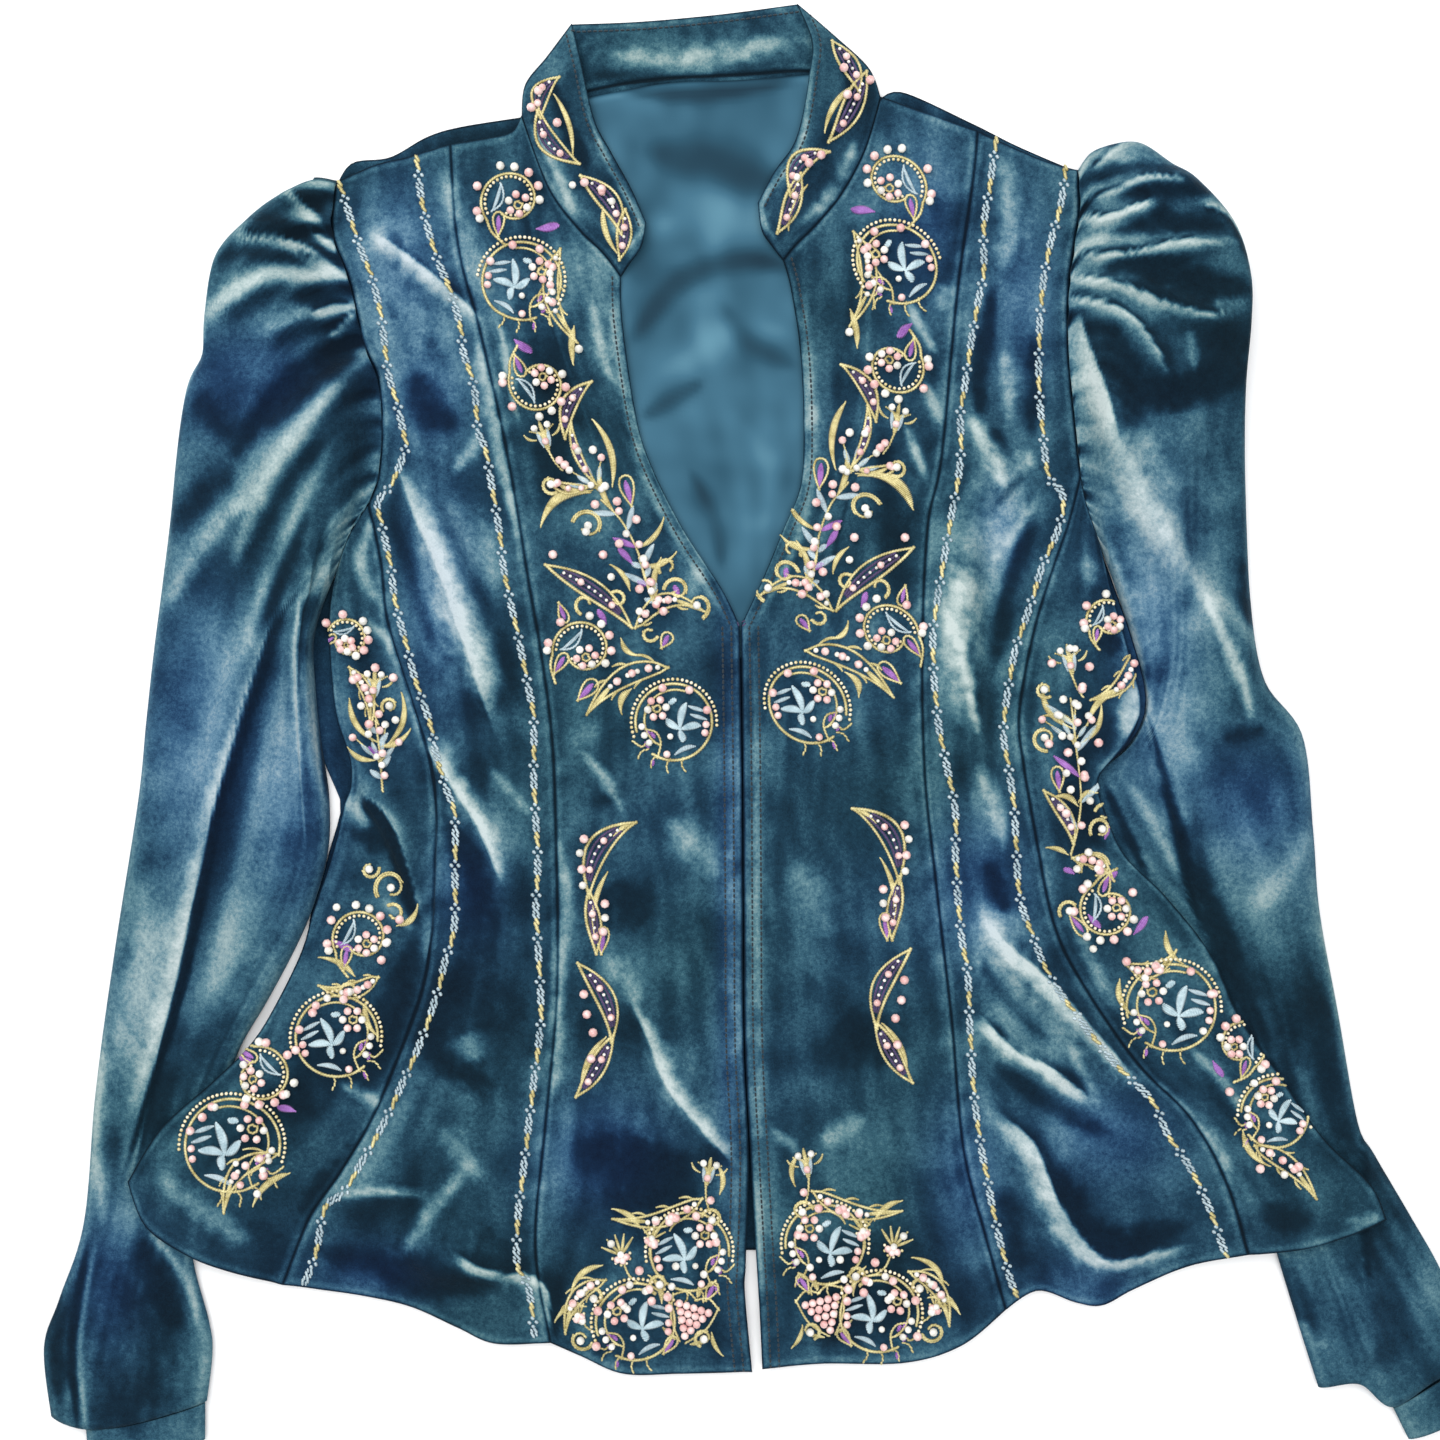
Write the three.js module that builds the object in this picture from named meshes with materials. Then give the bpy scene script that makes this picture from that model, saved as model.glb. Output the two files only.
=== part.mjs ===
// Peplum blouse in velvet, laid flat with its front up. Millimetres, +Z up, +Y towards the collar.
// Every panel is a wall of cloth over a patch between four seam lines. The seam lines are shared,
// so two panels that are sewn together use the same points, half a seam gap apart.
import * as THREE from 'three';

// Driving sizes
const CLOTH = 1.5;
const SATIN = 1.0;
const SEAM_GAP = 0.36;
const REST_BACK = 0;
const REST_LINING = 1.8;
const REST_FRONT = 3.1;
const AIR_UNDER_FRONT = 2.3;
const SLEEVE_WALL = 1.3;
const SLEEVE_FLAT_TOP = 7.2;
const PEPLUM_LIFT = 8.1;
const PEPLUM_RAMP = 60;
const PUFF_HEIGHT = 27;
const SLEEVE_HEIGHT = 12.5;
const CUFF_HEIGHT = 7.2;
const SEAM_STAND = 0.8;
const ARMHOLE_ROWS = 9;
const SIDE_SEAM_ROWS = 20;
const FRONT_ROWS = ARMHOLE_ROWS + SIDE_SEAM_ROWS;
const SIDE_COLUMNS = 6;
const BACK_ACROSS = [0, 0.035, 0.08, 0.135, 0.21, 0.355, 0.5, 0.645, 0.79, 0.865, 0.92, 0.965, 1];
const NECK_COLUMNS = 4;
const BACK_ROWS = 14;
const ARMPIT_STEPS = 3;
const ARMPIT_PARTS = 2;
const NECK_ROWS = 10;
const LINING_COLUMNS = 6;
const LINING_ROWS = 10;
const CUFF_STEPS = 8;
const CUFF_ROWS = 2;
const COLLAR_RISE = 4;
const EDGE_RADIUS = 12;
const EDGE_HEIGHT = 2.9;
const VELVET = 0x2c4a5e;
const LINING = 0x35657a;
const COLLAR_ROWS = 8;
const COLLAR_COLUMNS = 4;
const SHOULDER_COLUMNS = 4;

// Seam lines in plan, [x, y] in mm from the neck point's line, from the top down or from left to right.
const LINE = {
  princess_left: [
    [-160.5, 324], [-156, 268.5], [-143.5, 219.5], [-130, 159], [-118.5, 91.5], [-105.5, 8],
    [-102, -69], [-102, -143], [-108, -212], [-113.5, -279.5], [-105.5, -333],
  ],
  princess_right: [
    [128.5, 331], [126, 305], [117, 240.5], [108.5, 152], [101, 114], [98, 52.5], [99, -17],
    [105.5, -80.5], [114, -155.5], [120.5, -225.5], [132.5, -273.5], [144, -315],
  ],
  armhole_left: [
    [-223, 303], [-224.5, 275], [-215, 247.5], [-207.5, 214.5], [-199.5, 194.5], [-197.5, 168],
    [-199.5, 141.5], [-205, 126.5],
  ],
  armhole_right: [
    [183.5, 309.5], [183.5, 285.5], [180.5, 265.5], [177.5, 239.5], [178, 206.5], [181, 173],
    [184.5, 141.5],
  ],
  armpit_left: [[-205, 126.5], [-215, 110.5], [-223, 89.5]],
  armpit_right: [[184.5, 141.5], [188, 125], [195.5, 104.5]],
  side_seam_left: [
    [-205, 126.5], [-198.5, 96.5], [-194, 60.5], [-180.5, 16.5], [-169, -22], [-168, -69],
    [-172, -124], [-182.5, -160.5], [-202, -207.5], [-219.5, -238.5], [-237, -264], [-252, -301],
  ],
  side_seam_right: [
    [184.5, 141.5], [177.5, 114], [170, 92.5], [159.5, 59], [151, 14], [152.5, -14], [160, -58],
    [170, -104.5], [188, -140], [216, -180], [243, -207.5], [261, -239.5], [275, -283],
  ],
  panel_side_left: [
    [-223, 89.5], [-226.5, 69], [-226.5, 44], [-223, 11], [-216, -12], [-215, -27.5], [-219, -40],
    [-225, -64.5], [-236, -98], [-243, -121], [-263.5, -162], [-286.5, -186.5], [-316, -213],
    [-335, -243],
  ],
  panel_side_right: [
    [195.5, 104.5], [201.5, 80], [208.5, 52.5], [216, 17.5], [209.5, -4], [193.5, -23.5], [199, -47],
    [208.5, -66.5], [230, -88], [254, -118.5], [270, -153.5], [290.5, -183.5], [315.5, -219],
    [341, -244], [350, -263.5],
  ],
  neck_left: [[-67, 251], [-66, 225.5], [-58.5, 174.5], [-50, 147], [-33, 113], [-12, 80.5], [-1.9, 60]],
  neck_right: [
    [22, 260], [26, 245], [31, 212], [33, 173], [31.5, 137.5], [21.5, 111.5], [10.5, 85], [-1.2, 60],
  ],
  edge_left: [
    [-1.9, 60], [-0.9, -14], [-0.3, -91], [0.2, -168], [3, -231], [1.5, -288], [1, -305], [5, -349],
  ],
  edge_right: [
    [-1.2, 60], [-0.1, -14], [0.4, -91], [1, -168], [4.1, -231], [7, -283], [9, -316],
    [10.5, -347.5],
  ],
  shoulder_left: [[-160.5, 324], [-142, 327], [-127, 330.5], [-121.5, 339.5]],
  shoulder_right: [[75.5, 350], [89, 345], [108.5, 338], [128.5, 331]],
  yoke_left: [[-223, 303], [-201.5, 312.5], [-183, 317], [-160.5, 324]],
  yoke_right: [[128.5, 331], [147, 322.5], [166, 314.5], [183.5, 309.5]],
  collar_seam_left: [[-121.5, 339.5], [-111, 310], [-102.5, 293], [-89, 276], [-76, 263], [-67, 251]],
  collar_seam_right: [
    [75.5, 350], [73, 340.5], [66, 318.5], [54, 296.5], [40.5, 280], [28.5, 268], [22, 260],
  ],
  rim_left: [[-94, 390.5], [-88.5, 368], [-81.5, 337], [-72, 318.5], [-61, 298.5], [-53, 280]],
  rim_right: [[29.5, 401.5], [37.5, 379.5], [36, 360.5], [32, 337], [27, 322], [17, 308], [8, 291]],
  collar_fold_left: [[-121.5, 339.5], [-119.5, 357], [-107.5, 372.5], [-94, 390.5]],
  collar_fold_right: [[75.5, 350], [69, 366], [50.5, 383.5], [29.5, 401.5]],
  collar_end_left: [[-67, 251], [-62, 258], [-55.5, 267], [-53, 280]],
  collar_end_right: [[22, 260], [16, 267], [10, 276], [8, 291]],
  collar_back_rim: [[-94, 390.5], [-56.5, 392], [-12.5, 396], [29.5, 401.5]],
  back_neck: [
    [-121.5, 339.5], [-86.5, 353.5], [-43.5, 360.5], [-1.5, 362.5], [36, 365], [59, 359],
    [75.5, 350],
  ],
  hem_centre_left: [[-105.5, -333], [-88.5, -340.5], [-65.5, -350], [-34.5, -350], [5, -349]],
  hem_side_left: [
    [-252, -301], [-234.5, -303.5], [-207, -307.5], [-181.5, -313.5], [-156, -325], [-136, -333.5],
    [-105.5, -333],
  ],
  hem_panel_left: [[-335, -243], [-325.5, -267], [-304, -282.5], [-278.5, -293], [-252, -301]],
  hem_centre_right: [[10.5, -347.5], [43, -344.5], [89, -344], [120, -334.5], [144, -315]],
  hem_side_right: [
    [144, -315], [161.5, -304.5], [182.5, -311], [197, -312.5], [214.5, -303.5], [246, -290],
    [275, -283],
  ],
  hem_panel_right: [[275, -283], [306.5, -279.5], [334, -271], [350, -263.5]],
  back_shoulder_left: [
    [-223, 303], [-214.5, 314.5], [-194, 317.5], [-174, 328.5], [-156, 334], [-121.5, 339.5],
  ],
  back_shoulder_right: [[75.5, 350], [88.5, 353], [126, 336], [151, 323.5], [183.5, 309.5]],
  back_side_left: [
    [-223, 89.5], [-228.5, 67.5], [-230, 47], [-227.5, 19], [-225, -8], [-221, -30.5], [-220.5, -41],
    [-223.5, -64.5], [-234, -98], [-241, -122], [-261, -164], [-284.5, -188], [-314, -215],
    [-331.5, -245.5],
  ],
  back_side_right: [
    [195.5, 104.5], [201, 80], [207.5, 52.5], [215, 17.5], [208, -4.5], [192, -24], [197.5, -48],
    [207, -67.5], [227.5, -89.5], [252, -120], [268, -155], [288, -185.5], [313.5, -220.5],
    [339, -245.5], [346, -262],
  ],
  back_hem: [
    [-331.5, -245.5], [-302, -278], [-252.5, -292], [-161, -290], [-78.5, -286], [4, -283],
    [86.5, -284.5], [169, -286.5], [273.5, -279.5], [334, -267], [346, -262],
  ],
  lining_neck: [[-91.5, 348.5], [-43.5, 357.5], [-1.5, 359.5], [38, 362.5]],
  lining_left: [[-91.5, 348.5], [-84, 305], [-75.5, 256], [-75.5, 184.5], [-56.5, 118.5], [-29, 66]],
  lining_right: [[38, 362.5], [41, 322], [43.5, 260], [44.5, 184.5], [38, 118.5], [18, 66]],
  lining_hem: [[-29, 66], [-4.5, 41], [18, 66]],
  sleeve_back_left: [
    [-223, 303], [-237, 304.5], [-253, 295.5], [-268.5, 282.5], [-285.5, 263.5], [-291.5, 234],
    [-293.5, 210.5], [-302.5, 192.5], [-309, 157], [-314.5, 110], [-322, 52.5], [-327, 8],
    [-331.5, -36], [-344.5, -118.5], [-355, -195.5], [-361.5, -267], [-375, -309], [-383.5, -335.5],
    [-379.5, -373],
  ],
  sleeve_front_left: [
    [-223, 89.5], [-230.5, 71], [-235.5, 51], [-234.5, 25], [-231.5, -3], [-227, -33],
    [-227.5, -63.5], [-235.5, -93.5], [-245.5, -117], [-261, -146], [-276.5, -173], [-287.5, -206.5],
    [-296.5, -245], [-302, -283], [-293, -321], [-291, -338], [-294, -365],
  ],
  sleeve_back_right: [
    [183.5, 309.5], [191, 319.5], [203.5, 324], [216.5, 323.5], [232, 312.5], [246.5, 303.5],
    [267, 280.5], [276, 254.5], [277, 228.5], [274.5, 190], [275, 140], [278, 74], [285.5, 30.5],
    [306.5, 0], [312.5, -52.5], [316, -96.5], [326, -151], [337, -212], [346, -229.5],
    [366.5, -264.5], [383.5, -295], [402, -339.5],
  ],
  sleeve_front_right: [
    [195.5, 104.5], [204.5, 80], [213, 52.5], [220, 17.5], [211, -6], [188.5, -26], [194, -50],
    [202, -70], [224, -92], [246, -122.5], [258, -154], [269, -192.5], [281, -239.5], [293, -285],
    [305, -324.5], [315.5, -357.5],
  ],
  cuff_top_left: [[-360.5, -379.8], [-340.5, -378.5], [-319, -373.6], [-295, -366]],
  cuff_top_right: [[402.5, -340.1], [378.5, -355.1], [356.5, -368.7]],
  cuff_end_left: [[-359, -398], [-338, -399], [-315, -393.5], [-295, -386]],
  cuff_end_right: [[412.5, -359], [389, -376], [365, -386]],
  wrist_left: [[-379.5, -373], [-361, -379], [-340.5, -378], [-319, -373], [-294, -365]],
  wrist_right: [[402, -339.5], [378, -353.5], [355, -367.5], [337, -355], [315.5, -357.5]],
};

// The stretches of sleeve that lie under the peplum, as closed outlines in plan
const UNDER_PEPLUM = {
  left: [
    [-274.5, -169], [-285.5, -201], [-294, -242], [-301, -286.5], [-356, -286.5], [-356, -234],
    [-326, -223], [-298.5, -190],
  ],
  right: [
    [224, 23.5], [212, 16.5], [187.5, -22.5], [193.5, -50], [201, -70], [223, -92], [245, -122.5],
    [257, -154], [268, -192.5], [280, -239.5], [292, -290], [361.5, -290], [361.5, -250.5],
    [323, -212], [273.5, -135], [224, -52.5], [226, -5.5],
  ],
};

// Folds of the front: height in mm (below zero for a trough), width in mm, and the line it runs along
const FRONT_FOLDS = [
  { height: 5, width: 9, line: [[-202.5, 276.5], [-182.5, 260.5], [-150, 236.5]] },
  { height: 4, width: 9, line: [[-137.5, 234.5], [-124, 215], [-122.5, 176]] },
  { height: 6, width: 11, line: [[-183.5, 147], [-160, 91.5], [-141, 38], [-133.5, 8]] },
  { height: -2.5, width: 8, line: [[-166.5, 146], [-144.5, 96.5], [-127, 41]] },
  { height: 5, width: 10, line: [[-171.5, -4], [-150, -38], [-133.5, -63.5], [-122.5, -107.5]] },
  { height: 4, width: 11, line: [[-228.5, -253.5], [-199.5, -248], [-175, -250.5]] },
  { height: 6, width: 11, line: [[-183.5, -274.5], [-169, -290], [-141, -290], [-118.5, -295]] },
  { height: 4, width: 10, line: [[-88, 5.5], [-78.5, -19], [-70.5, -37.5]] },
  { height: 6, width: 13, line: [[-55, -110.5], [-45, -168.5], [-27.5, -209], [-5, -234.5]] },
  { height: 5, width: 10, line: [[124, 177], [138.5, 139], [146.5, 131.5]] },
  { height: 6, width: 14, line: [[114, 126.5], [118.5, 74], [118.5, 8], [127.5, -36]] },
  { height: -3, width: 7, line: [[136.5, 126.5], [133.5, 76], [137, 25.5], [143.5, -29.5]] },
  { height: 6, width: 11, line: [[128.5, -98], [149, -123], [169.5, -143], [204.5, -179]] },
  { height: 4, width: 10, line: [[126, -155.5], [149, -174], [184.5, -193.5]] },
  { height: 6, width: 13, line: [
    [138.5, -214], [169.5, -234.5], [179.5, -264.5], [202, -285], [235, -279.5],
  ] },
  { height: 5, width: 8, line: [[-215, -30.5], [-197, -36], [-187.5, -53.5], [-177, -97]] },
  { height: 4, width: 10, line: [[174.5, 74], [180, 19], [169, -36], [188, -80]] },
  { height: 4, width: 12, line: [[42.5, -256], [48, -305], [41, -338]] },
  { height: 4, width: 12, line: [[-78.5, -294], [-73, -322], [-78.5, -341]] },
];

// Gathers and folds of the sleeves; those that start at the armhole keep their height there
const LEFT_SLEEVE_FOLDS = [
  { height: 3.5, width: 5, atSeam: true, line: [[-227, 298.5], [-254, 291]] },
  { height: 4.5, width: 6, atSeam: true, line: [[-223.5, 282], [-249, 275.5], [-273, 268]] },
  { height: 4.5, width: 5.5, atSeam: true, line: [[-218.5, 264.5], [-249, 260], [-278, 248]] },
  { height: 5, width: 6, atSeam: true, line: [[-214, 246.5], [-254, 243.5], [-287, 223.5]] },
  { height: 4, width: 4.5, atSeam: true, line: [[-209.5, 229], [-234.5, 224], [-260, 210.5]] },
  { height: -3, width: 6, atSeam: true, line: [[-207.5, 216], [-246, 186], [-271.5, 153]] },
  { height: 6, width: 9, atSeam: true, line: [[-204, 202], [-240, 160], [-264.5, 122.5], [-280, 88.5]] },
  { height: 3.5, width: 9, line: [[-267.5, 131.5], [-292, 107.5], [-312.5, 76]] },
  { height: 6, width: 10, line: [
    [-251, 96.5], [-275, 29.5], [-295.5, -58.5], [-317, -132], [-327, -195.5],
  ] },
  { height: -3, width: 7, line: [[-249, 58], [-264.5, -15], [-282, -91], [-296.5, -146]] },
  { height: 3, width: 9, line: [[-239.5, 63.5], [-243, 41], [-241.5, -4], [-239.5, -43]] },
  { height: 3, width: 10, line: [[-331.5, -289], [-325, -327], [-328.5, -363]] },
];
const RIGHT_SLEEVE_FOLDS = [
  { height: 3.5, width: 5, atSeam: true, line: [[185.5, 305], [203.5, 316]] },
  { height: 5, width: 6, atSeam: true, line: [[185, 291], [222, 298.5], [246, 298]] },
  { height: 4, width: 5, atSeam: true, line: [[183.5, 278], [209, 282.5], [229.5, 284.5]] },
  { height: 5, width: 6, atSeam: true, line: [[180, 262], [222, 260], [264, 266]] },
  { height: 4.5, width: 5.5, atSeam: true, line: [[178, 247], [213, 240.5], [243, 227], [268.5, 226]] },
  { height: 4, width: 6, atSeam: true, line: [[178, 232.5], [207.5, 221.5], [229.5, 194.5]] },
  { height: -3, width: 9, line: [[202, 199.5], [232, 181.5], [268, 191]] },
  { height: 6.5, width: 11, line: [[182.5, 217.5], [203.5, 148.5], [235, 93.5], [262.5, 56.5], [301, 11]] },
  { height: 3.5, width: 9, line: [[245, 69], [255, 47], [271, 7]] },
  { height: 5, width: 7, line: [[225, 8], [232.5, -25], [241.5, -60.5], [254.5, -107.5]] },
  { height: 3.5, width: 12, line: [[279, -36], [290, -107.5], [306.5, -179]] },
  { height: 3.5, width: 8, line: [[339.5, -283], [342.5, -316], [346, -349]] },
];

// Rings of the sleeves, as shares of the length of the back fold and of the front fold
const BACK_FOLD_SHARES = [0, 0.018, 0.042, 0.072, 0.11, 0.155, 0.21, 0.27, 0.34, 0.41, 0.48, 0.55, 0.62,
  0.69, 0.76, 0.83, 0.89, 0.945, 1];
const FRONT_FOLD_SHARES = {
  left: [0, 0.006, 0.014, 0.026, 0.042, 0.065, 0.095, 0.13, 0.18, 0.245, 0.32, 0.405, 0.49, 0.58, 0.67,
    0.76, 0.84, 0.92, 1],
  right: [0, 0.01, 0.022, 0.036, 0.055, 0.08, 0.11, 0.145, 0.179, 0.229, 0.288, 0.337, 0.44, 0.54, 0.64,
    0.74, 0.83, 0.915, 1],
};

// Smooth step from 0 to 1
function smooth(t) {
  const c = Math.min(1, Math.max(0, t));
  return c * c * (3 - 2 * c);
}

function mix(a, b, t) {
  return a + (b - a) * t;
}

// A seam line as steps + 1 points at equal distances along a smooth curve
function seam(name, steps) {
  const curve = new THREE.SplineCurve(LINE[name].map(([x, y]) => new THREE.Vector2(x, y)));
  return curve.getSpacedPoints(steps);
}

// Two seam lines end to end
function joined(first, second) {
  return first.concat(second.slice(1));
}

// The same line with each of its steps cut into smaller straight ones
function divided(points, parts) {
  const fine = [points[0]];
  for (let i = 1; i < points.length; i += 1) {
    for (let k = 1; k <= parts; k += 1) {
      fine.push(points[i - 1].clone().lerp(points[i], k / parts));
    }
  }
  return fine;
}

// Distance from a point to a line of straight steps, and how far along the line that is, from 0 to 1
function nearest(x, y, line) {
  let best = Infinity;
  let along = 0;
  for (let i = 1; i < line.length; i += 1) {
    const [ax, ay] = line[i - 1];
    const dx = line[i][0] - ax;
    const dy = line[i][1] - ay;
    const t = Math.min(1, Math.max(0, ((x - ax) * dx + (y - ay) * dy) / (dx * dx + dy * dy)));
    const distance = Math.hypot(x - ax - t * dx, y - ay - t * dy);
    if (distance < best) {
      best = distance;
      along = (i - 1 + t) / (line.length - 1);
    }
  }
  return { distance: best, along };
}

// Distance from a point to a closed outline, 0 inside it
function outside(x, y, outline) {
  let inside = false;
  for (let i = 0, j = outline.length - 1; i < outline.length; j = i, i += 1) {
    const [xi, yi] = outline[i];
    const [xj, yj] = outline[j];
    if (yi > y !== yj > y && x < ((xj - xi) * (y - yi)) / (yj - yi) + xi) {
      inside = !inside;
    }
  }
  return inside ? 0 : nearest(x, y, outline.concat([outline[0]])).distance;
}

// Height of a set of folds over a point, each a soft ridge or trough that fades at its free ends
function folds(x, y, table) {
  const FADE = 0.22;
  let height = 0;
  for (const fold of table) {
    const { distance, along } = nearest(x, y, fold.line);
    const start = fold.atSeam ? 1 : smooth(along / FADE);
    height += fold.height * start * smooth((1 - along) / FADE) * Math.exp(-((distance / fold.width) ** 2));
  }
  return height;
}

// How far the body is lifted where a sleeve lies under it
function lift(x, y) {
  const near = Math.min(outside(x, y, UNDER_PEPLUM.left), outside(x, y, UNDER_PEPLUM.right));
  return PEPLUM_LIFT * (1 - smooth((near - 3) / PEPLUM_RAMP));
}

function evenly(count) {
  return Array.from({ length: count }, (_, i) => i / (count - 1));
}

// A panel's patch in plan from its four edges: rows from top to bottom, columns from left to right
function patch(top, bottom, left, right, across = evenly(top.length), down = evenly(left.length)) {
  const columns = top.length - 1;
  const rows = left.length - 1;
  const grid = [];
  for (let j = 0; j <= rows; j += 1) {
    const v = down[j];
    const row = [];
    for (let i = 0; i <= columns; i += 1) {
      const u = across[i];
      const blend = (axis) => mix(top[i][axis], bottom[i][axis], v) + mix(left[j][axis], right[j][axis], u)
        - mix(mix(top[0][axis], top[columns][axis], u), mix(bottom[0][axis], bottom[columns][axis], u), v);
      row.push(new THREE.Vector2(blend('x'), blend('y')));
    }
    grid.push(row);
  }
  return grid;
}

// Moves a patch's rim in by half a seam gap
function trimmed(grid, gap = SEAM_GAP / 2) {
  const rows = grid.length - 1;
  const columns = grid[0].length - 1;
  return grid.map((row, j) => row.map((point, i) => {
    const toI = i === 0 ? 1 : i === columns ? columns - 1 : i;
    const toJ = j === 0 ? 1 : j === rows ? rows - 1 : j;
    const moved = point.clone();
    if (toI !== i) {
      moved.add(grid[j][toI].clone().sub(point).setLength(gap));
    }
    if (toJ !== j) {
      moved.add(grid[toJ][i].clone().sub(point).setLength(gap));
    }
    return moved;
  }));
}

// Six times the volume inside a closed set of triangles, below zero when they face inwards
function volume(positions, indices) {
  const corner = (k) => new THREE.Vector3().fromArray(positions, 3 * indices[k]);
  let sum = 0;
  for (let k = 0; k < indices.length; k += 3) {
    sum += corner(k).dot(corner(k + 1).cross(corner(k + 2)));
  }
  return sum;
}

// A closed mesh from a grid of points under the cloth and the same grid over it
function wall(under, over, ring = false) {
  const rows = under.length;
  const columns = under[0].length;
  const positions = [];
  const indices = [];
  for (const layer of [under, over]) {
    for (const row of layer) {
      for (const p of row) {
        positions.push(p.x, p.y, p.z);
      }
    }
  }
  const at = (layer, j, i) => layer * rows * columns + j * columns + (i % columns);
  const quad = (a, b, c, d) => indices.push(a, b, c, a, c, d);
  const last = ring ? columns : columns - 1;
  for (let j = 0; j + 1 < rows; j += 1) {
    for (let i = 0; i < last; i += 1) {
      quad(at(0, j, i), at(0, j, i + 1), at(0, j + 1, i + 1), at(0, j + 1, i));
      quad(at(1, j, i), at(1, j + 1, i), at(1, j + 1, i + 1), at(1, j, i + 1));
    }
  }
  for (let i = 0; i < last; i += 1) {
    quad(at(0, 0, i), at(1, 0, i), at(1, 0, i + 1), at(0, 0, i + 1));
    quad(at(0, rows - 1, i), at(0, rows - 1, i + 1), at(1, rows - 1, i + 1), at(1, rows - 1, i));
  }
  for (let j = 0; !ring && j + 1 < rows; j += 1) {
    quad(at(0, j, 0), at(0, j + 1, 0), at(1, j + 1, 0), at(1, j, 0));
    quad(at(0, j, columns - 1), at(1, j, columns - 1), at(1, j + 1, columns - 1), at(0, j + 1, columns - 1));
  }
  const geometry = new THREE.BufferGeometry();
  geometry.setAttribute('position', new THREE.Float32BufferAttribute(positions, 3));
  geometry.setIndex(volume(positions, indices) < 0 ? indices.reverse() : indices);
  geometry.computeVertexNormals();
  return geometry;
}

// A flat piece: its underside's height is a function of place and of where it is in the piece
function sheet(plan, underside, thickness) {
  const rows = plan.length - 1;
  const columns = plan[0].length - 1;
  const under = plan.map((row, j) => row.map((p, i) => (
    new THREE.Vector3(p.x, p.y, underside(p.x, p.y, i / columns, j / rows)))));
  const over = under.map((row) => row.map((p) => new THREE.Vector3(p.x, p.y, p.z + thickness)));
  return wall(under, over);
}

// Height of the front's underside: it rests at the shoulders and the hem, and has air under it between
function frontUnderside(x, y, v) {
  const free = smooth(v / 0.07) * smooth((1 - v) / 0.05);
  const fold = Math.max(-AIR_UNDER_FRONT, folds(x, y, FRONT_FOLDS));
  const kept = fold > 0 ? mix(0.35, 1, free) : free;
  return REST_FRONT + lift(x, y) + free * AIR_UNDER_FRONT + fold * kept;
}

// A front panel. It starts so many rows below the shoulder, and at its outer edge, if it has one, it
// comes down to the back.
function frontPanel(top, bottom, left, right, firstRow = 0, outerEdge = '') {
  const plan = trimmed(patch(top, bottom, left, right));
  return sheet(plan, (x, y, u, v) => {
    const fromEdge = { left: u, right: 1 - u }[outerEdge] ?? 1;
    const free = frontUnderside(x, y, (firstRow + v * (left.length - 1)) / FRONT_ROWS);
    return mix(REST_FRONT + lift(x, y), free, smooth(fromEdge / 0.35));
  }, CLOTH);
}

// A seam line sampled at given shares of its length
function seamAt(name, shares) {
  const curve = new THREE.SplineCurve(LINE[name].map(([x, y]) => new THREE.Vector2(x, y)));
  return shares.map((share) => curve.getPointAt(share));
}

// Points at given shares along a line of straight steps, so that they stay on its steps
function alongSteps(points, shares) {
  const steps = points.length - 1;
  return shares.map((share) => {
    const place = share * steps;
    const i = Math.min(steps - 1, Math.floor(place));
    return points[i].clone().lerp(points[i + 1], place - i);
  });
}

// Even shares from 0 to 1 with one more close to each end, where a tube rounds over
function crowded(steps) {
  const near = 0.3 / steps;
  return evenly(steps + 1).concat([near, 1 - near]).sort((a, b) => a - b);
}

// Height of a sleeve's upper side: puffed at the head, flat where the peplum lies on it and at the cuff
function sleeveTop(x, y, u, s, table) {
  const puff = smooth(s / 0.075) * (1 - smooth((s - 0.1) / 0.26)) * smooth((0.98 - u) / 0.55);
  const arch = mix(SLEEVE_HEIGHT, CUFF_HEIGHT, smooth((s - 0.45) / 0.5));
  const seamTop = REST_FRONT + CLOTH + SEAM_STAND + AIR_UNDER_FRONT * smooth(u / 0.2) * smooth((1 - u) / 0.2);
  const open = mix(seamTop, arch + (PUFF_HEIGHT - arch) * puff, smooth(s / 0.05));
  const near = Math.min(outside(x, y, UNDER_PEPLUM.left), outside(x, y, UNDER_PEPLUM.right));
  return mix(SLEEVE_FLAT_TOP, open + folds(x, y, table), smooth((near - 1) / 20));
}

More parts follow.
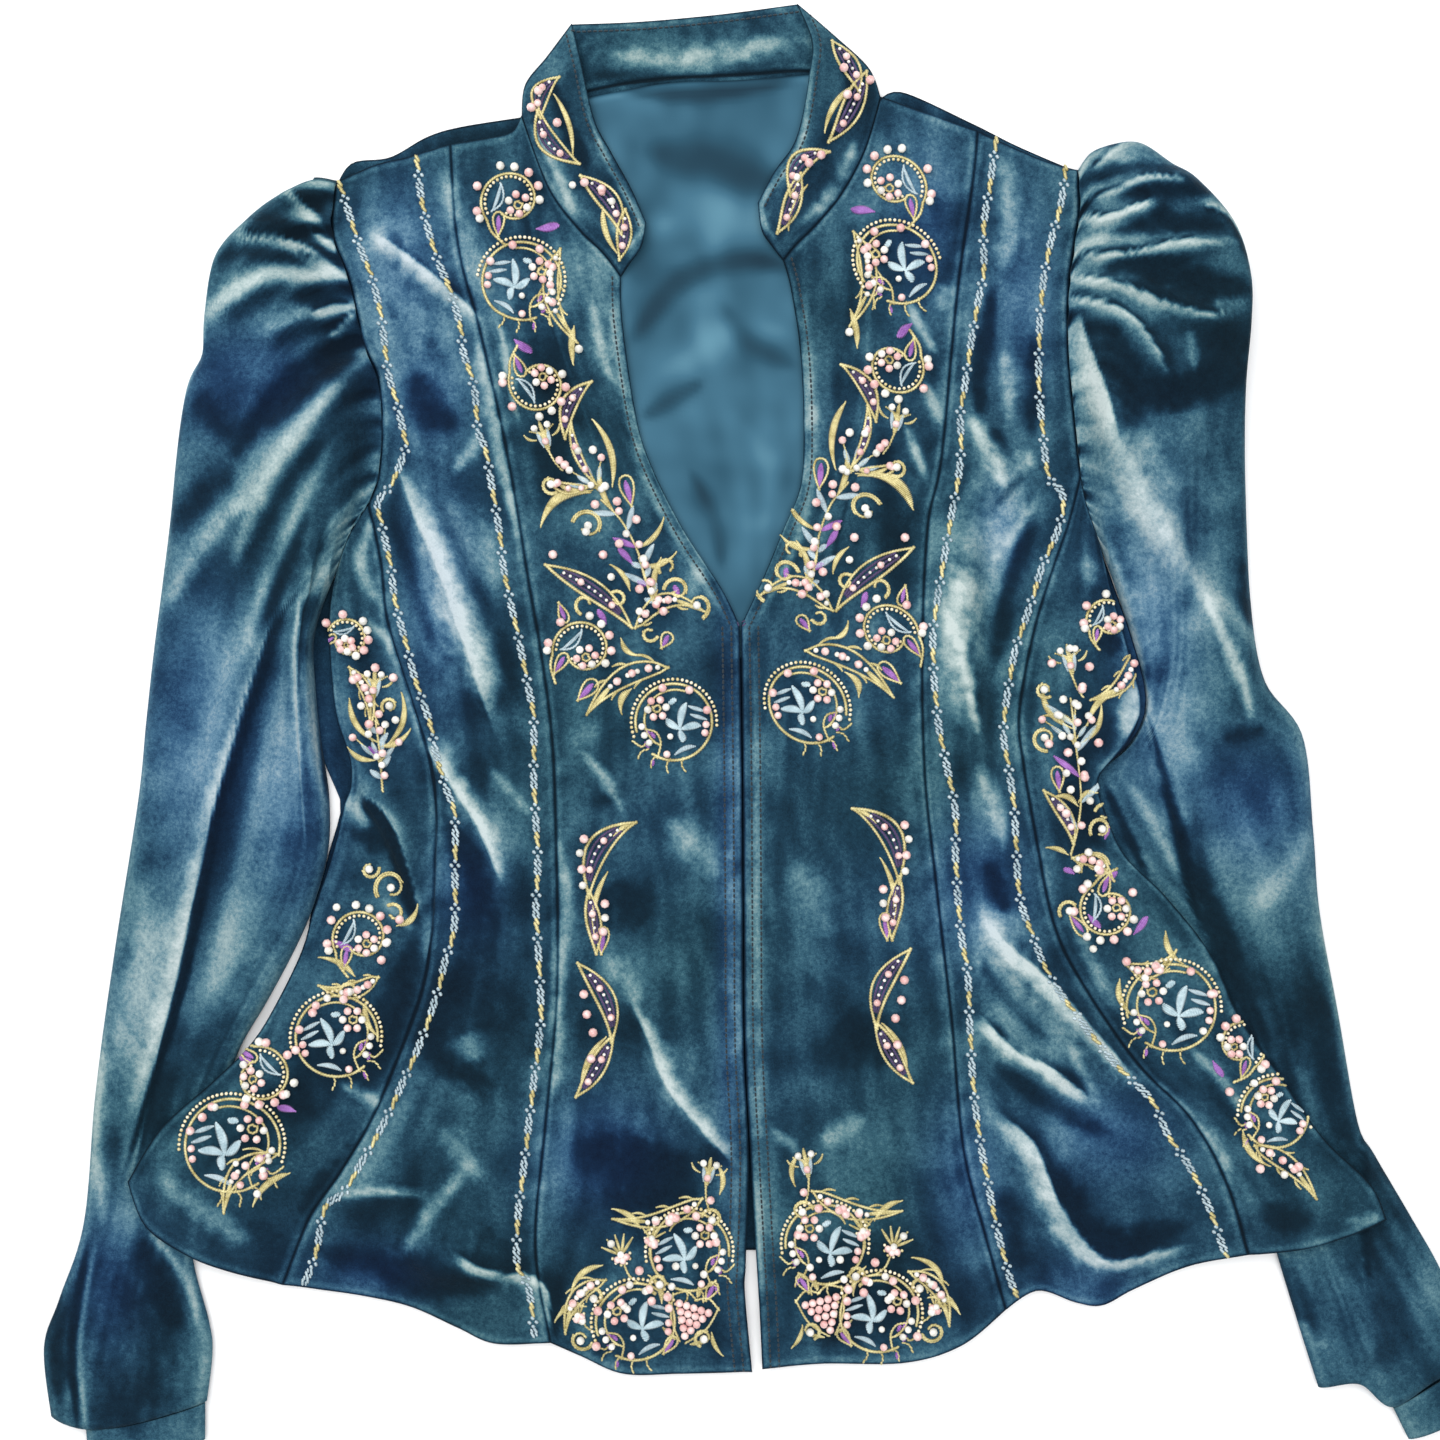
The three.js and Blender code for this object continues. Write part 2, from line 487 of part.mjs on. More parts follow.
// A flattened tube of cloth on a patch in plan. Each ring runs over its upper side and returns below,
// where it lies flat, and the inner rings are moved in along the surface's own normals.
function flatTube(plan, shares, topHeight) {
  const columns = shares.length - 1;
  const below = shares.map((_, i) => columns - i).filter((i) => i > 1 && i < columns - 1 && i % 2);
  const outer = plan.map((row, j) => {
    const width = row.reduce((sum, p, i) => (i ? sum + p.distanceTo(row[i - 1]) : 0), 0);
    const roundness = (i) => {
      const toEdge = (width * Math.min(shares[i], 1 - shares[i])) / EDGE_RADIUS;
      return Math.sqrt(1 - (1 - Math.min(1, toEdge)) ** 2);
    };
    const upper = row.map((p, i) => (
      new THREE.Vector3(p.x, p.y, mix(EDGE_HEIGHT, topHeight(p.x, p.y, shares[i], j), roundness(i)))));
    const lower = below.map((i) => new THREE.Vector3(row[i].x, row[i].y, EDGE_HEIGHT * (1 - roundness(i))));
    return upper.concat(lower);
  });
  const rows = outer.length;
  const count = outer[0].length;
  const turn = Math.sign(outer[0][1].clone().sub(outer[0][0]).cross(outer[1][0].clone().sub(outer[0][0])).z);
  const inner = outer.map((ring, j) => ring.map((p, i) => {
    const around = ring[(i + 1) % count].clone().sub(ring[(i + count - 1) % count]);
    const down = outer[Math.min(rows - 1, j + 1)][i].clone().sub(outer[Math.max(0, j - 1)][i]);
    return p.clone().addScaledVector(around.cross(down).normalize(), -turn * SLEEVE_WALL);
  }));
  return wall(inner, outer, true);
}

// A sleeve from the armhole to the wrist
function sleeve(side, table) {
  const shares = crowded(ARMHOLE_ROWS * 2 + ARMPIT_STEPS * 2);
  const armhole = joined(seam(`armhole_${side}`, ARMHOLE_ROWS), seam(`armpit_${side}`, ARMPIT_STEPS));
  const plan = patch(
    alongSteps(armhole, shares),
    alongSteps(seam(`wrist_${side}`, 12), shares),
    seamAt(`sleeve_back_${side}`, BACK_FOLD_SHARES),
    seamAt(`sleeve_front_${side}`, FRONT_FOLD_SHARES[side]),
    shares,
    BACK_FOLD_SHARES,
  );
  plan[0].forEach((p, i) => p.add(plan[1][i].clone().sub(p).setLength(SEAM_GAP / 2)));
  return flatTube(plan, shares, (x, y, u, j) => sleeveTop(x, y, u, BACK_FOLD_SHARES[j], table));
}

// A cuff: a short flattened band beyond the wrist seam
function cuff(side) {
  const top = seam(`cuff_top_${side}`, CUFF_STEPS);
  const end = seam(`cuff_end_${side}`, CUFF_STEPS);
  const shares = crowded(CUFF_STEPS);
  const first = alongSteps(top, shares);
  const last = alongSteps(end, shares);
  const plan = evenly(CUFF_ROWS + 1).map((t) => first.map((p, i) => p.clone().lerp(last[i], t)));
  return flatTube(plan, shares, () => CUFF_HEIGHT);
}

// A front half of the collar, from its fold at the shoulder to its rounded front end
function collarFront(side) {
  const line = (name) => seam(`${name}_${side}`, COLLAR_ROWS);
  const fold = seam(`collar_fold_${side}`, COLLAR_COLUMNS);
  const end = seam(`collar_end_${side}`, COLLAR_COLUMNS);
  const plan = side === 'left'
    ? patch(fold, end, line('collar_seam'), line('rim'))
    : patch(fold.slice().reverse(), end.slice().reverse(), line('rim'), line('collar_seam'));
  return sheet(trimmed(plan), (x, y, u, v) => {
    const across = side === 'left' ? u : 1 - u;
    const rest = mix(REST_LINING, REST_FRONT, smooth(v / 0.15));
    return rest + COLLAR_RISE * Math.sin(Math.PI * Math.min(1, across * 0.75)) * smooth(v / 0.2);
  }, CLOTH);
}

const velvet = new THREE.Color(VELVET);
const satin = new THREE.Color(LINING);
const blouse = new THREE.Group();

function add(name, geometry, color, roughness) {
  const material = new THREE.MeshStandardMaterial({ color, roughness, metalness: 0 });
  const mesh = new THREE.Mesh(geometry, material);
  mesh.name = name;
  blouse.add(mesh);
}

// Back: one plain panel that lies on the floor, lifted at its corners by the sleeves
const backArmholeLeft = joined(seam('armhole_left', ARMHOLE_ROWS), seam('armpit_left', ARMPIT_STEPS));
const backArmholeRight = joined(seam('armhole_right', ARMHOLE_ROWS), seam('armpit_right', ARMPIT_STEPS));
const backTop = joined(
  joined(seam('back_shoulder_left', SHOULDER_COLUMNS), seam('back_neck', NECK_COLUMNS)),
  seam('back_shoulder_right', SHOULDER_COLUMNS),
);
const backPlan = trimmed(patch(
  backTop,
  seamAt('back_hem', BACK_ACROSS),
  joined(backArmholeLeft, seam('back_side_left', BACK_ROWS)),
  joined(backArmholeRight, seam('back_side_right', BACK_ROWS)),
  BACK_ACROSS,
));
add('back', sheet(backPlan, (x, y) => REST_BACK + lift(x, y), CLOTH), velvet, 0.9);

// Lining, where it shows in the neck
const liningPlan = patch(
  seam('lining_neck', LINING_COLUMNS),
  seam('lining_hem', LINING_COLUMNS),
  seam('lining_left', LINING_ROWS),
  seam('lining_right', LINING_ROWS),
);
add('back_lining', sheet(liningPlan, () => REST_LINING, SATIN), satin, 0.45);

// Collar: its back with the inner face up, and its two front halves folded over
const collarBackPlan = trimmed(patch(
  seam('collar_back_rim', NECK_COLUMNS),
  seam('back_neck', NECK_COLUMNS),
  seam('collar_fold_left', COLLAR_COLUMNS).reverse(),
  seam('collar_fold_right', COLLAR_COLUMNS).reverse(),
));
add('collar_back', sheet(collarBackPlan, () => REST_BACK, CLOTH), velvet, 0.9);
add('collar_front_left', collarFront('left'), velvet, 0.9);
add('collar_front_right', collarFront('right'), velvet, 0.9);

// Fronts: a centre panel and a side panel of each half, with the peplum cut in one
add('front_centre_left', frontPanel(
  joined(seam('shoulder_left', SHOULDER_COLUMNS), seam('collar_seam_left', COLLAR_ROWS)),
  seam('hem_centre_left', SHOULDER_COLUMNS + COLLAR_ROWS),
  seam('princess_left', FRONT_ROWS),
  joined(seam('neck_left', NECK_ROWS), seam('edge_left', FRONT_ROWS - NECK_ROWS)),
), velvet, 0.9);
add('front_centre_right', frontPanel(
  joined(seam('collar_seam_right', COLLAR_ROWS).reverse(), seam('shoulder_right', SHOULDER_COLUMNS)),
  seam('hem_centre_right', SHOULDER_COLUMNS + COLLAR_ROWS),
  joined(seam('neck_right', NECK_ROWS), seam('edge_right', FRONT_ROWS - NECK_ROWS)),
  seam('princess_right', FRONT_ROWS),
), velvet, 0.9);
add('front_side_left', frontPanel(
  seam('yoke_left', SIDE_COLUMNS),
  seam('hem_side_left', SIDE_COLUMNS),
  joined(seam('armhole_left', ARMHOLE_ROWS), seam('side_seam_left', SIDE_SEAM_ROWS)),
  seam('princess_left', FRONT_ROWS),
), velvet, 0.9);
add('front_side_right', frontPanel(
  seam('yoke_right', SIDE_COLUMNS),
  seam('hem_side_right', SIDE_COLUMNS),
  seam('princess_right', FRONT_ROWS),
  joined(seam('armhole_right', ARMHOLE_ROWS), seam('side_seam_right', SIDE_SEAM_ROWS)),
), velvet, 0.9);
add('side_panel_left', frontPanel(
  divided(seam('armpit_left', ARMPIT_STEPS).reverse(), ARMPIT_PARTS),
  seam('hem_panel_left', ARMPIT_STEPS * ARMPIT_PARTS),
  seam('panel_side_left', SIDE_SEAM_ROWS),
  seam('side_seam_left', SIDE_SEAM_ROWS),
  ARMHOLE_ROWS,
  'left',
), velvet, 0.9);
add('side_panel_right', frontPanel(
  divided(seam('armpit_right', ARMPIT_STEPS), ARMPIT_PARTS),
  seam('hem_panel_right', ARMPIT_STEPS * ARMPIT_PARTS),
  seam('side_seam_right', SIDE_SEAM_ROWS),
  seam('panel_side_right', SIDE_SEAM_ROWS),
  ARMHOLE_ROWS,
  'right',
), velvet, 0.9);

// Sleeves, gathered into the armholes, and their cuffs
add('sleeve_left', sleeve('left', LEFT_SLEEVE_FOLDS), velvet, 0.9);
add('sleeve_right', sleeve('right', RIGHT_SLEEVE_FOLDS), velvet, 0.9);
add('cuff_left', cuff('left'), velvet, 0.9);
add('cuff_right', cuff('right'), velvet, 0.9);

// The frame's origin is the middle of the underside
const box = new THREE.Box3().setFromObject(blouse);
const middle = box.getCenter(new THREE.Vector3());
blouse.children.forEach((mesh) => mesh.geometry.translate(-middle.x, -middle.y, -box.min.z));

export default blouse;
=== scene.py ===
"""A velvet peplum blouse laid flat with its front up.

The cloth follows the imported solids: every panel is a fine shell on the same seam lines and folds,
and the embroidery, beads and stitching lie on those shells. Lines are written as "x,y x,y", in
millimetres of the plan or, where a table says so, in pixels of the photograph.
"""

import logging
import math
from dataclasses import dataclass, field
from enum import Enum

import bpy
import numpy as np
from mathutils import Matrix, Vector
from mathutils.bvhtree import BVHTree


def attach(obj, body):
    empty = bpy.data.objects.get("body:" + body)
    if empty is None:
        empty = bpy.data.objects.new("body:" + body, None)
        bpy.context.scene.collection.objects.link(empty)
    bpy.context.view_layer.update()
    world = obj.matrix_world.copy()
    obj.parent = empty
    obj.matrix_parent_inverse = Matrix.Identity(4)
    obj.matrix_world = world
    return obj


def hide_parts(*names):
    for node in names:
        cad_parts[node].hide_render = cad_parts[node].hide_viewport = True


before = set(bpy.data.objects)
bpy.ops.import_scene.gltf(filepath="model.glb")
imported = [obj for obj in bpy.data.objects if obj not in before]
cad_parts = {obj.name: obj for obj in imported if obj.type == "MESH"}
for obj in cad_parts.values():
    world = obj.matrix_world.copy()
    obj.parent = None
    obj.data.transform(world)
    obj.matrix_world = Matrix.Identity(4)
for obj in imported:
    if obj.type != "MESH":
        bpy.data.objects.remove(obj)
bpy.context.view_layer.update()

LOG = logging.getLogger("blouse")

Array = np.ndarray
Point = tuple[float, float]
Plan = list[Point]
Socket = bpy.types.NodeSocket

MM = 0.001
# A pixel of the photograph in millimetres, the pixel at the plan's origin, and the part's middle there
PIXEL = 0.55
NECK_PIXEL = (743.0, 735.0)
MIDDLE = (14.4, 1.22)
# How far down a side the armhole ends, and down the front edge the neck
ARMHOLE_SHARE = 9 / 29
NECK_SHARE = 10 / 29


def points(text: str) -> Plan:
    """The points of a line that is written as "x,y x,y"."""
    return [tuple(float(number) for number in pair.split(",")) for pair in text.split()]


# Seam lines in plan, from the top down or from left to right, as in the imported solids
LINE: dict[str, Plan] = {name: points(line) for name, line in {
    "princess_left":
        "-160.5,324 -156,268.5 -143.5,219.5 -130,159 -118.5,91.5 -105.5,8 -102,-69 -102,-143 -108,-212 "
        "-113.5,-279.5 -105.5,-333",
    "princess_right":
        "128.5,331 126,305 117,240.5 108.5,152 101,114 98,52.5 99,-17 105.5,-80.5 114,-155.5 120.5,-225.5 "
        "132.5,-273.5 144,-315",
    "armhole_left":
        "-223,303 -224.5,275 -215,247.5 -207.5,214.5 -199.5,194.5 -197.5,168 -199.5,141.5 -205,126.5",
    "armhole_right": "183.5,309.5 183.5,285.5 180.5,265.5 177.5,239.5 178,206.5 181,173 184.5,141.5",
    "armpit_left": "-205,126.5 -215,110.5 -223,89.5",
    "armpit_right": "184.5,141.5 188,125 195.5,104.5",
    "side_seam_left":
        "-205,126.5 -198.5,96.5 -194,60.5 -180.5,16.5 -169,-22 -168,-69 -172,-124 -182.5,-160.5 -202,-207.5 "
        "-219.5,-238.5 -237,-264 -252,-301",
    "side_seam_right":
        "184.5,141.5 177.5,114 170,92.5 159.5,59 151,14 152.5,-14 160,-58 170,-104.5 188,-140 216,-180 "
        "243,-207.5 261,-239.5 275,-283",
    "panel_side_left":
        "-223,89.5 -226.5,69 -226.5,44 -223,11 -216,-12 -215,-27.5 -219,-40 -225,-64.5 -236,-98 -243,-121 "
        "-263.5,-162 -286.5,-186.5 -316,-213 -335,-243",
    "panel_side_right":
        "195.5,104.5 201.5,80 208.5,52.5 216,17.5 209.5,-4 193.5,-23.5 199,-47 208.5,-66.5 230,-88 "
        "254,-118.5 270,-153.5 290.5,-183.5 315.5,-219 341,-244 350,-263.5",
    "neck_left": "-67,251 -66,225.5 -58.5,174.5 -50,147 -33,113 -12,80.5 -1.9,60",
    "neck_right": "22,260 26,245 31,212 33,173 31.5,137.5 21.5,111.5 10.5,85 -1.2,60",
    "edge_left": "-1.9,60 -0.9,-14 -0.3,-91 0.2,-168 3,-231 1.5,-288 1,-305 5,-349",
    "edge_right": "-1.2,60 -0.1,-14 0.4,-91 1,-168 4.1,-231 7,-283 9,-316 10.5,-347.5",
    "shoulder_left": "-160.5,324 -142,327 -127,330.5 -121.5,339.5",
    "shoulder_right": "75.5,350 89,345 108.5,338 128.5,331",
    "yoke_left": "-223,303 -201.5,312.5 -183,317 -160.5,324",
    "yoke_right": "128.5,331 147,322.5 166,314.5 183.5,309.5",
    "collar_seam_left": "-121.5,339.5 -111,310 -102.5,293 -89,276 -76,263 -67,251",
    "collar_seam_right": "75.5,350 73,340.5 66,318.5 54,296.5 40.5,280 28.5,268 22,260",
    "rim_left": "-94,390.5 -88.5,368 -81.5,337 -72,318.5 -61,298.5 -53,280",
    "rim_right": "29.5,401.5 37.5,379.5 36,360.5 32,337 27,322 17,308 8,291",
    "collar_fold_left": "-121.5,339.5 -119.5,357 -107.5,372.5 -94,390.5",
    "collar_fold_right": "75.5,350 69,366 50.5,383.5 29.5,401.5",
    "collar_end_left": "-67,251 -62,258 -55.5,267 -53,280",
    "collar_end_right": "22,260 16,267 10,276 8,291",
    "collar_back_rim": "-94,390.5 -56.5,392 -12.5,396 29.5,401.5",
    "back_neck": "-121.5,339.5 -86.5,353.5 -43.5,360.5 -1.5,362.5 36,365 59,359 75.5,350",
    "hem_centre_left": "-105.5,-333 -88.5,-340.5 -65.5,-350 -34.5,-350 5,-349",
    "hem_side_left": "-252,-301 -234.5,-303.5 -207,-307.5 -181.5,-313.5 -156,-325 -136,-333.5 -105.5,-333",
    "hem_panel_left": "-335,-243 -325.5,-267 -304,-282.5 -278.5,-293 -252,-301",
    "hem_centre_right": "10.5,-347.5 43,-344.5 89,-344 120,-334.5 144,-315",
    "hem_side_right": "144,-315 161.5,-304.5 182.5,-311 197,-312.5 214.5,-303.5 246,-290 275,-283",
    "hem_panel_right": "275,-283 306.5,-279.5 334,-271 350,-263.5",
    "back_shoulder_left": "-223,303 -214.5,314.5 -194,317.5 -174,328.5 -156,334 -121.5,339.5",
    "back_shoulder_right": "75.5,350 88.5,353 126,336 151,323.5 183.5,309.5",
    "back_side_left":
        "-223,89.5 -233,67.5 -237.5,47 -236.5,19 -232.5,-8 -223.5,-30.5 -221,-41 -227.5,-64.5 -231.5,-80 "
        "-237.5,-98 -242,-122 -261,-164 -284.5,-188 -314,-215 -331.5,-245.5",
    "back_side_right":
        "195.5,104.5 204.5,80 213,52.5 220,17.5 211,-4.5 192,-24 197.5,-48 207,-67.5 227.5,-89.5 252,-120 "
        "268,-155 288,-185.5 313.5,-220.5 339,-245.5 346,-262",
    "back_hem":
        "-331.5,-245.5 -302,-278 -252.5,-292 -161,-290 -78.5,-286 4,-283 86.5,-284.5 169,-286.5 273.5,-279.5 "
        "334,-267 346,-262",
    "lining_neck": "-91.5,348.5 -43.5,357.5 -1.5,359.5 38,362.5",
    "lining_left": "-91.5,348.5 -84,305 -75.5,256 -75.5,184.5 -56.5,118.5 -29,66",
    "lining_right": "38,362.5 41,322 43.5,260 44.5,184.5 38,118.5 18,66",
    "lining_hem": "-29,66 -4.5,41 18,66",
    "sleeve_back_left":
        "-223,303 -237,304.5 -253,295.5 -268.5,282.5 -285.5,263.5 -291.5,234 -293.5,210.5 -302.5,192.5 "
        "-309,157 -314.5,110 -322,52.5 -327,8 -331.5,-36 -344.5,-118.5 -355,-195.5 -361.5,-267 -375,-309 "
        "-383.5,-335.5 -379.5,-373",
    "sleeve_front_left":
        "-223,89.5 -230.5,71 -235.5,51 -234.5,25 -231.5,-3 -227,-33 -227.5,-63.5 -235.5,-93.5 -245.5,-117 "
        "-261,-146 -276.5,-173 -287.5,-206.5 -296.5,-245 -302,-283 -293,-321 -291,-338 -294,-365",
    "sleeve_back_right":
        "183.5,309.5 191,319.5 203.5,324 216.5,323.5 232,312.5 246.5,303.5 267,280.5 276,254.5 277,228.5 "
        "274.5,190 275,140 278,74 285.5,30.5 306.5,0 312.5,-52.5 316,-96.5 326,-151 337,-212 346,-229.5 "
        "366.5,-264.5 383.5,-295 402,-339.5",
    "sleeve_front_right":
        "195.5,104.5 204.5,80 213,52.5 220,17.5 211,-6 188.5,-26 194,-50 202,-70 224,-92 246,-122.5 258,-154 "
        "269,-192.5 281,-239.5 293,-285 305,-324.5 315.5,-357.5",
    "cuff_top_left": "-360.5,-379.8 -340.5,-378.5 -319,-373.6 -295,-366",
    "cuff_top_right": "402.5,-340.1 378.5,-355.1 356.5,-368.7",
    "cuff_end_left": "-359,-398 -338,-399 -315,-393.5 -295,-386",
    "cuff_end_right": "412.5,-359 389,-376 365,-386",
    "wrist_left": "-379.5,-373 -361,-379 -340.5,-378 -319,-373 -294,-365",
    "wrist_right": "402,-339.5 378,-353.5 355,-367.5 337,-355 315.5,-357.5",
}.items()}

# Stretches of sleeve that lie under the peplum, as closed outlines
UNDER_PEPLUM: dict[str, Plan] = {name: points(line) for name, line in {
    "left": "-274.5,-169 -285.5,-201 -294,-242 -301,-286.5 -356,-286.5 -356,-234 -326,-223 -298.5,-190",
    "right":
        "224,23.5 212,16.5 187.5,-22.5 193.5,-50 201,-70 223,-92 245,-122.5 257,-154 268,-192.5 280,-239.5 "
        "292,-290 361.5,-290 361.5,-250.5 323,-212 273.5,-135 224,-52.5 226,-5.5",
}.items()}


def smooth(t: Array | float) -> Array:
    """A smooth step from 0 to 1."""
    c = np.clip(t, 0.0, 1.0)
    return c * c * (3.0 - 2.0 * c)


def mix(a: Array | float, b: Array | float, t: Array | float) -> Array:
    """From a to b as t goes from 0 to 1."""
    return a + (b - a) * t


def fading(t: Array, first: float, last: float) -> Array:
    """1 in the middle of t's way from 0 to 1, falling to 0 over these shares at its ends."""
    return smooth(t / first) * smooth((1 - t) / last)


def walked(path: Array) -> Array:
    """How far along a path each of its points lies."""
    return np.concatenate([[0.0], np.cumsum(np.linalg.norm(np.diff(path, axis=0), axis=1))])


def at_lengths(path: Array, lengths: Array) -> Array:
    """Points of a path of straight steps at lengths along it."""
    length = walked(path)
    return np.column_stack([np.interp(lengths, length, path[:, k]) for k in (0, 1)])


def spline_at(line: Plan | Array, shares: Array) -> Array:
    """Points at shares of the length of a smooth curve.

    Args:
        line: the points that the curve runs through.
        shares: from 0 at its start to 1 at its end.

    Returns:
        One row of x and y for each share.
    """
    pts = np.asarray(line, float)
    last = len(pts) - 1
    t = np.linspace(0.0, last, 60 * last + 1)
    i = np.minimum(t.astype(int), last - 1)
    w = (t - i)[:, None]
    before, here = pts[np.maximum(i - 1, 0)], pts[i]
    there, after = pts[i + 1], pts[np.minimum(i + 2, last)]
    out, back = (there - before) / 2, (after - here) / 2
    curve = ((2 * here - 2 * there + out + back) * w**3
             + (3 * there - 3 * here - 2 * out - back) * w**2 + out * w + here)
    return at_lengths(curve, np.asarray(shares) * walked(curve)[-1])


def from_photo(pixels: Plan | Array) -> Array:
    """Photograph pixels as plan millimetres."""
    p = np.asarray(pixels, float)
    return np.column_stack([(p[:, 0] - NECK_PIXEL[0]) * PIXEL, (NECK_PIXEL[1] - p[:, 1]) * PIXEL])


def edge(parts: list[tuple[str, float]], shares: Array) -> Array:
    """Points along seam lines end to end.

    Args:
        parts: the name of each line, with a minus sign if it runs backwards, and its share of the edge.
        shares: from 0 to 1 along the whole edge.

    Returns:
        One row of x and y for each share.
    """
    found = np.zeros((len(shares), 2))
    start = 0.0
    for name, part in parts:
        inside = (shares >= start - 1e-9) & (shares <= start + part + 1e-9)
        local = np.clip((shares[inside] - start) / part, 0.0, 1.0)
        found[inside] = spline_at(LINE[name.lstrip("-")], 1.0 - local if name.startswith("-") else local)
        start += part
    return found


def patch(top: Array, bottom: Array, left: Array, right: Array, u: Array, v: Array) -> Array:
    """The plan of a panel between its four edges.

    Args:
        top, bottom: the edges across, at the shares u.
        left, right: the edges down, at the shares v.
        u, v: the shares across and down, from 0 to 1.

    Returns:
        Rows of points from the top down.
    """
    u, v = u[None, :, None], v[:, None, None]
    corners = mix(mix(top[0], top[-1], u), mix(bottom[0], bottom[-1], u), v)
    return mix(top[None], bottom[None], v) + mix(left[:, None], right[:, None], u) - corners


def nearest(plan: Array, line: Plan | Array, closed: bool = False) -> tuple[Array, Array]:
    """How near points in plan are to a line of straight steps.

    Args:
        plan: the points, in rows.
        line: the line's points.
        closed: True if it runs back to its start.

    Returns:
        The distance of each point, and how far along the line that is, from 0 to 1.
    """
    line = np.asarray(line, float)
    steps = np.vstack([line, line[:1]]) if closed else line
    best = np.full(plan.shape[:-1], np.inf)
    along = np.zeros_like(best)
    for i in range(len(steps) - 1):
        step = steps[i + 1] - steps[i]
        t = np.clip(((plan - steps[i]) @ step) / (step @ step), 0.0, 1.0)
        away = np.linalg.norm(plan - steps[i] - t[..., None] * step, axis=-1)
        closer = away < best
        best = np.where(closer, away, best)
        along = np.where(closer, (i + t) / (len(steps) - 1), along)
    return best, along


def beside(plan: Array, line: Array) -> tuple[Array, Array]:
    """How far points in plan lie beside a line.

    Args:
        plan: the points, in rows.
        line: the line's points.

    Returns:
        The distance of each point, above zero to the line's left, and how far along the line that is.
    """
    away, along = nearest(plan, line)
    steps = np.diff(line, axis=0)
    index = np.clip((along * len(steps)).astype(int), 0, len(steps) - 1)
    off = plan - line[index]
    left = np.sign(steps[index][..., 0] * off[..., 1] - steps[index][..., 1] * off[..., 0])
    return left * away, along


def outside(plan: Array, outline: Plan) -> Array:
    """Distance from points in plan to a closed outline, 0 inside it.

    Args:
        plan: the points, in rows.
        outline: its corners.

    Returns:
        One distance for each point.
    """
    x, y = plan[..., 0], plan[..., 1]
    inside = np.zeros(x.shape, bool)
    for (xi, yi), (xj, yj) in zip(outline, outline[-1:] + outline[:-1]):
        crosses = (yi > y) != (yj > y)
        inside ^= crosses & (x < (xj - xi) * (y - yi) / ((yj - yi) or 1e-9) + xi)
    return np.where(inside, 0.0, nearest(plan, outline, closed=True)[0])


def over_sleeve(plan: Array) -> Array:
    """Distance from points in plan to the nearest stretch of sleeve that lies under the peplum."""
    return np.minimum(outside(plan, UNDER_PEPLUM["left"]), outside(plan, UNDER_PEPLUM["right"]))


def ripple(plan: Array, size: float, seed: int) -> Array:
    """Soft uneven lumps.

    Args:
        plan: the points, in rows.
        size: about how far apart the lumps are, in millimetres.
        seed: of their places.

    Returns:
        One height for each point, about -1 to 1.
    """
    waves = 14
    rng = np.random.default_rng(seed)
    total = np.zeros(plan.shape[:-1])
    for _ in range(waves):
        angle, phase = rng.uniform(0, 2 * math.pi, 2)
        pace = 2 * math.pi / (size * rng.uniform(1.2, 3.0))
        total += np.sin(pace * (plan[..., 0] * math.cos(angle) + plan[..., 1] * math.sin(angle)) + phase)
    return total / math.sqrt(waves)


def shares_for(length: float, cell: float) -> Array:
    """Even shares, with finer ones next to both ends, where the cloth rolls over.

    Args:
        length: of what is shared out, in millimetres.
        cell: how far apart the shares are.

    Returns:
        The shares, from 0 to 1.
    """
    even = np.linspace(0.0, 1.0, max(4, int(round(length / cell))) + 1)
    fine = np.array([0.35, 0.9, 1.6]) / length
    inner = even[(even > fine[-1] * 1.3) & (even < 1 - fine[-1] * 1.3)]
    return np.concatenate([[0.0], fine, inner, 1 - fine[::-1], [1.0]])


def placed(grid: Array) -> Array:
    """Points in millimetres of the plan as metres in the part's frame."""
    return (grid - np.array([*MIDDLE, 0.0])) * MM


@dataclass(frozen=True)
class Fold:
    """A soft ridge, or a trough where the height is below zero.

    Args:
        height: how far it stands out, in millimetres.
        width: its half width, in millimetres.
        line: where it runs in plan.
        at_seam: True if it starts at its full height, as a gather does.
    """

    height: float
    width: float
    line: str
    at_seam: bool = False

    def over(self, plan: Array) -> Array:
        """Finds the fold's height.

        Args:
            plan: points in plan, in rows.

        Returns:
            One height for each point.
        """
        away, along = nearest(plan, points(self.line))
        start = 1.0 if self.at_seam else smooth(along / 0.22)
        return self.height * start * smooth((1 - along) / 0.22) * np.exp(-(away / self.width) ** 2)


@dataclass(frozen=True)
class Pleat:
    """A fold that lies over its neighbour: it falls off gently on one side and steps down on the other.

    Args:
        height: of the step, in millimetres.
        width: over which it falls off.
        line: the folded edge, in photograph pixels.
        side: 1 if the upper layer lies to the left as one walks along the line, else -1.
    """

    height: float
    width: float
    line: str
    side: float = 1.0

    def over(self, plan: Array) -> Array:
        """Finds the fold's height.

        Args:
            plan: points in plan, in rows.

        Returns:
            One height for each point.
        """
        line = spline_at(from_photo(points(self.line)), np.linspace(0, 1, 40))
        off, along = beside(plan, line)
        off = off * self.side
        fall = np.where(off > 0, np.exp(-off / self.width), 1 - smooth(-off / 1.8))
        return self.height * fading(along, 0.18, 0.12) * fall


def raised(plan: Array, folds: "list[Fold] | list[Pleat]") -> Array:
    """The height that a set of folds adds over points in plan."""
    return sum((fold.over(plan) for fold in folds), np.zeros(plan.shape[:-1]))


@dataclass(frozen=True)
class Cut:
    """What a piece of cloth was cut to, in metres."""

    width: float
    length: float
    area: float


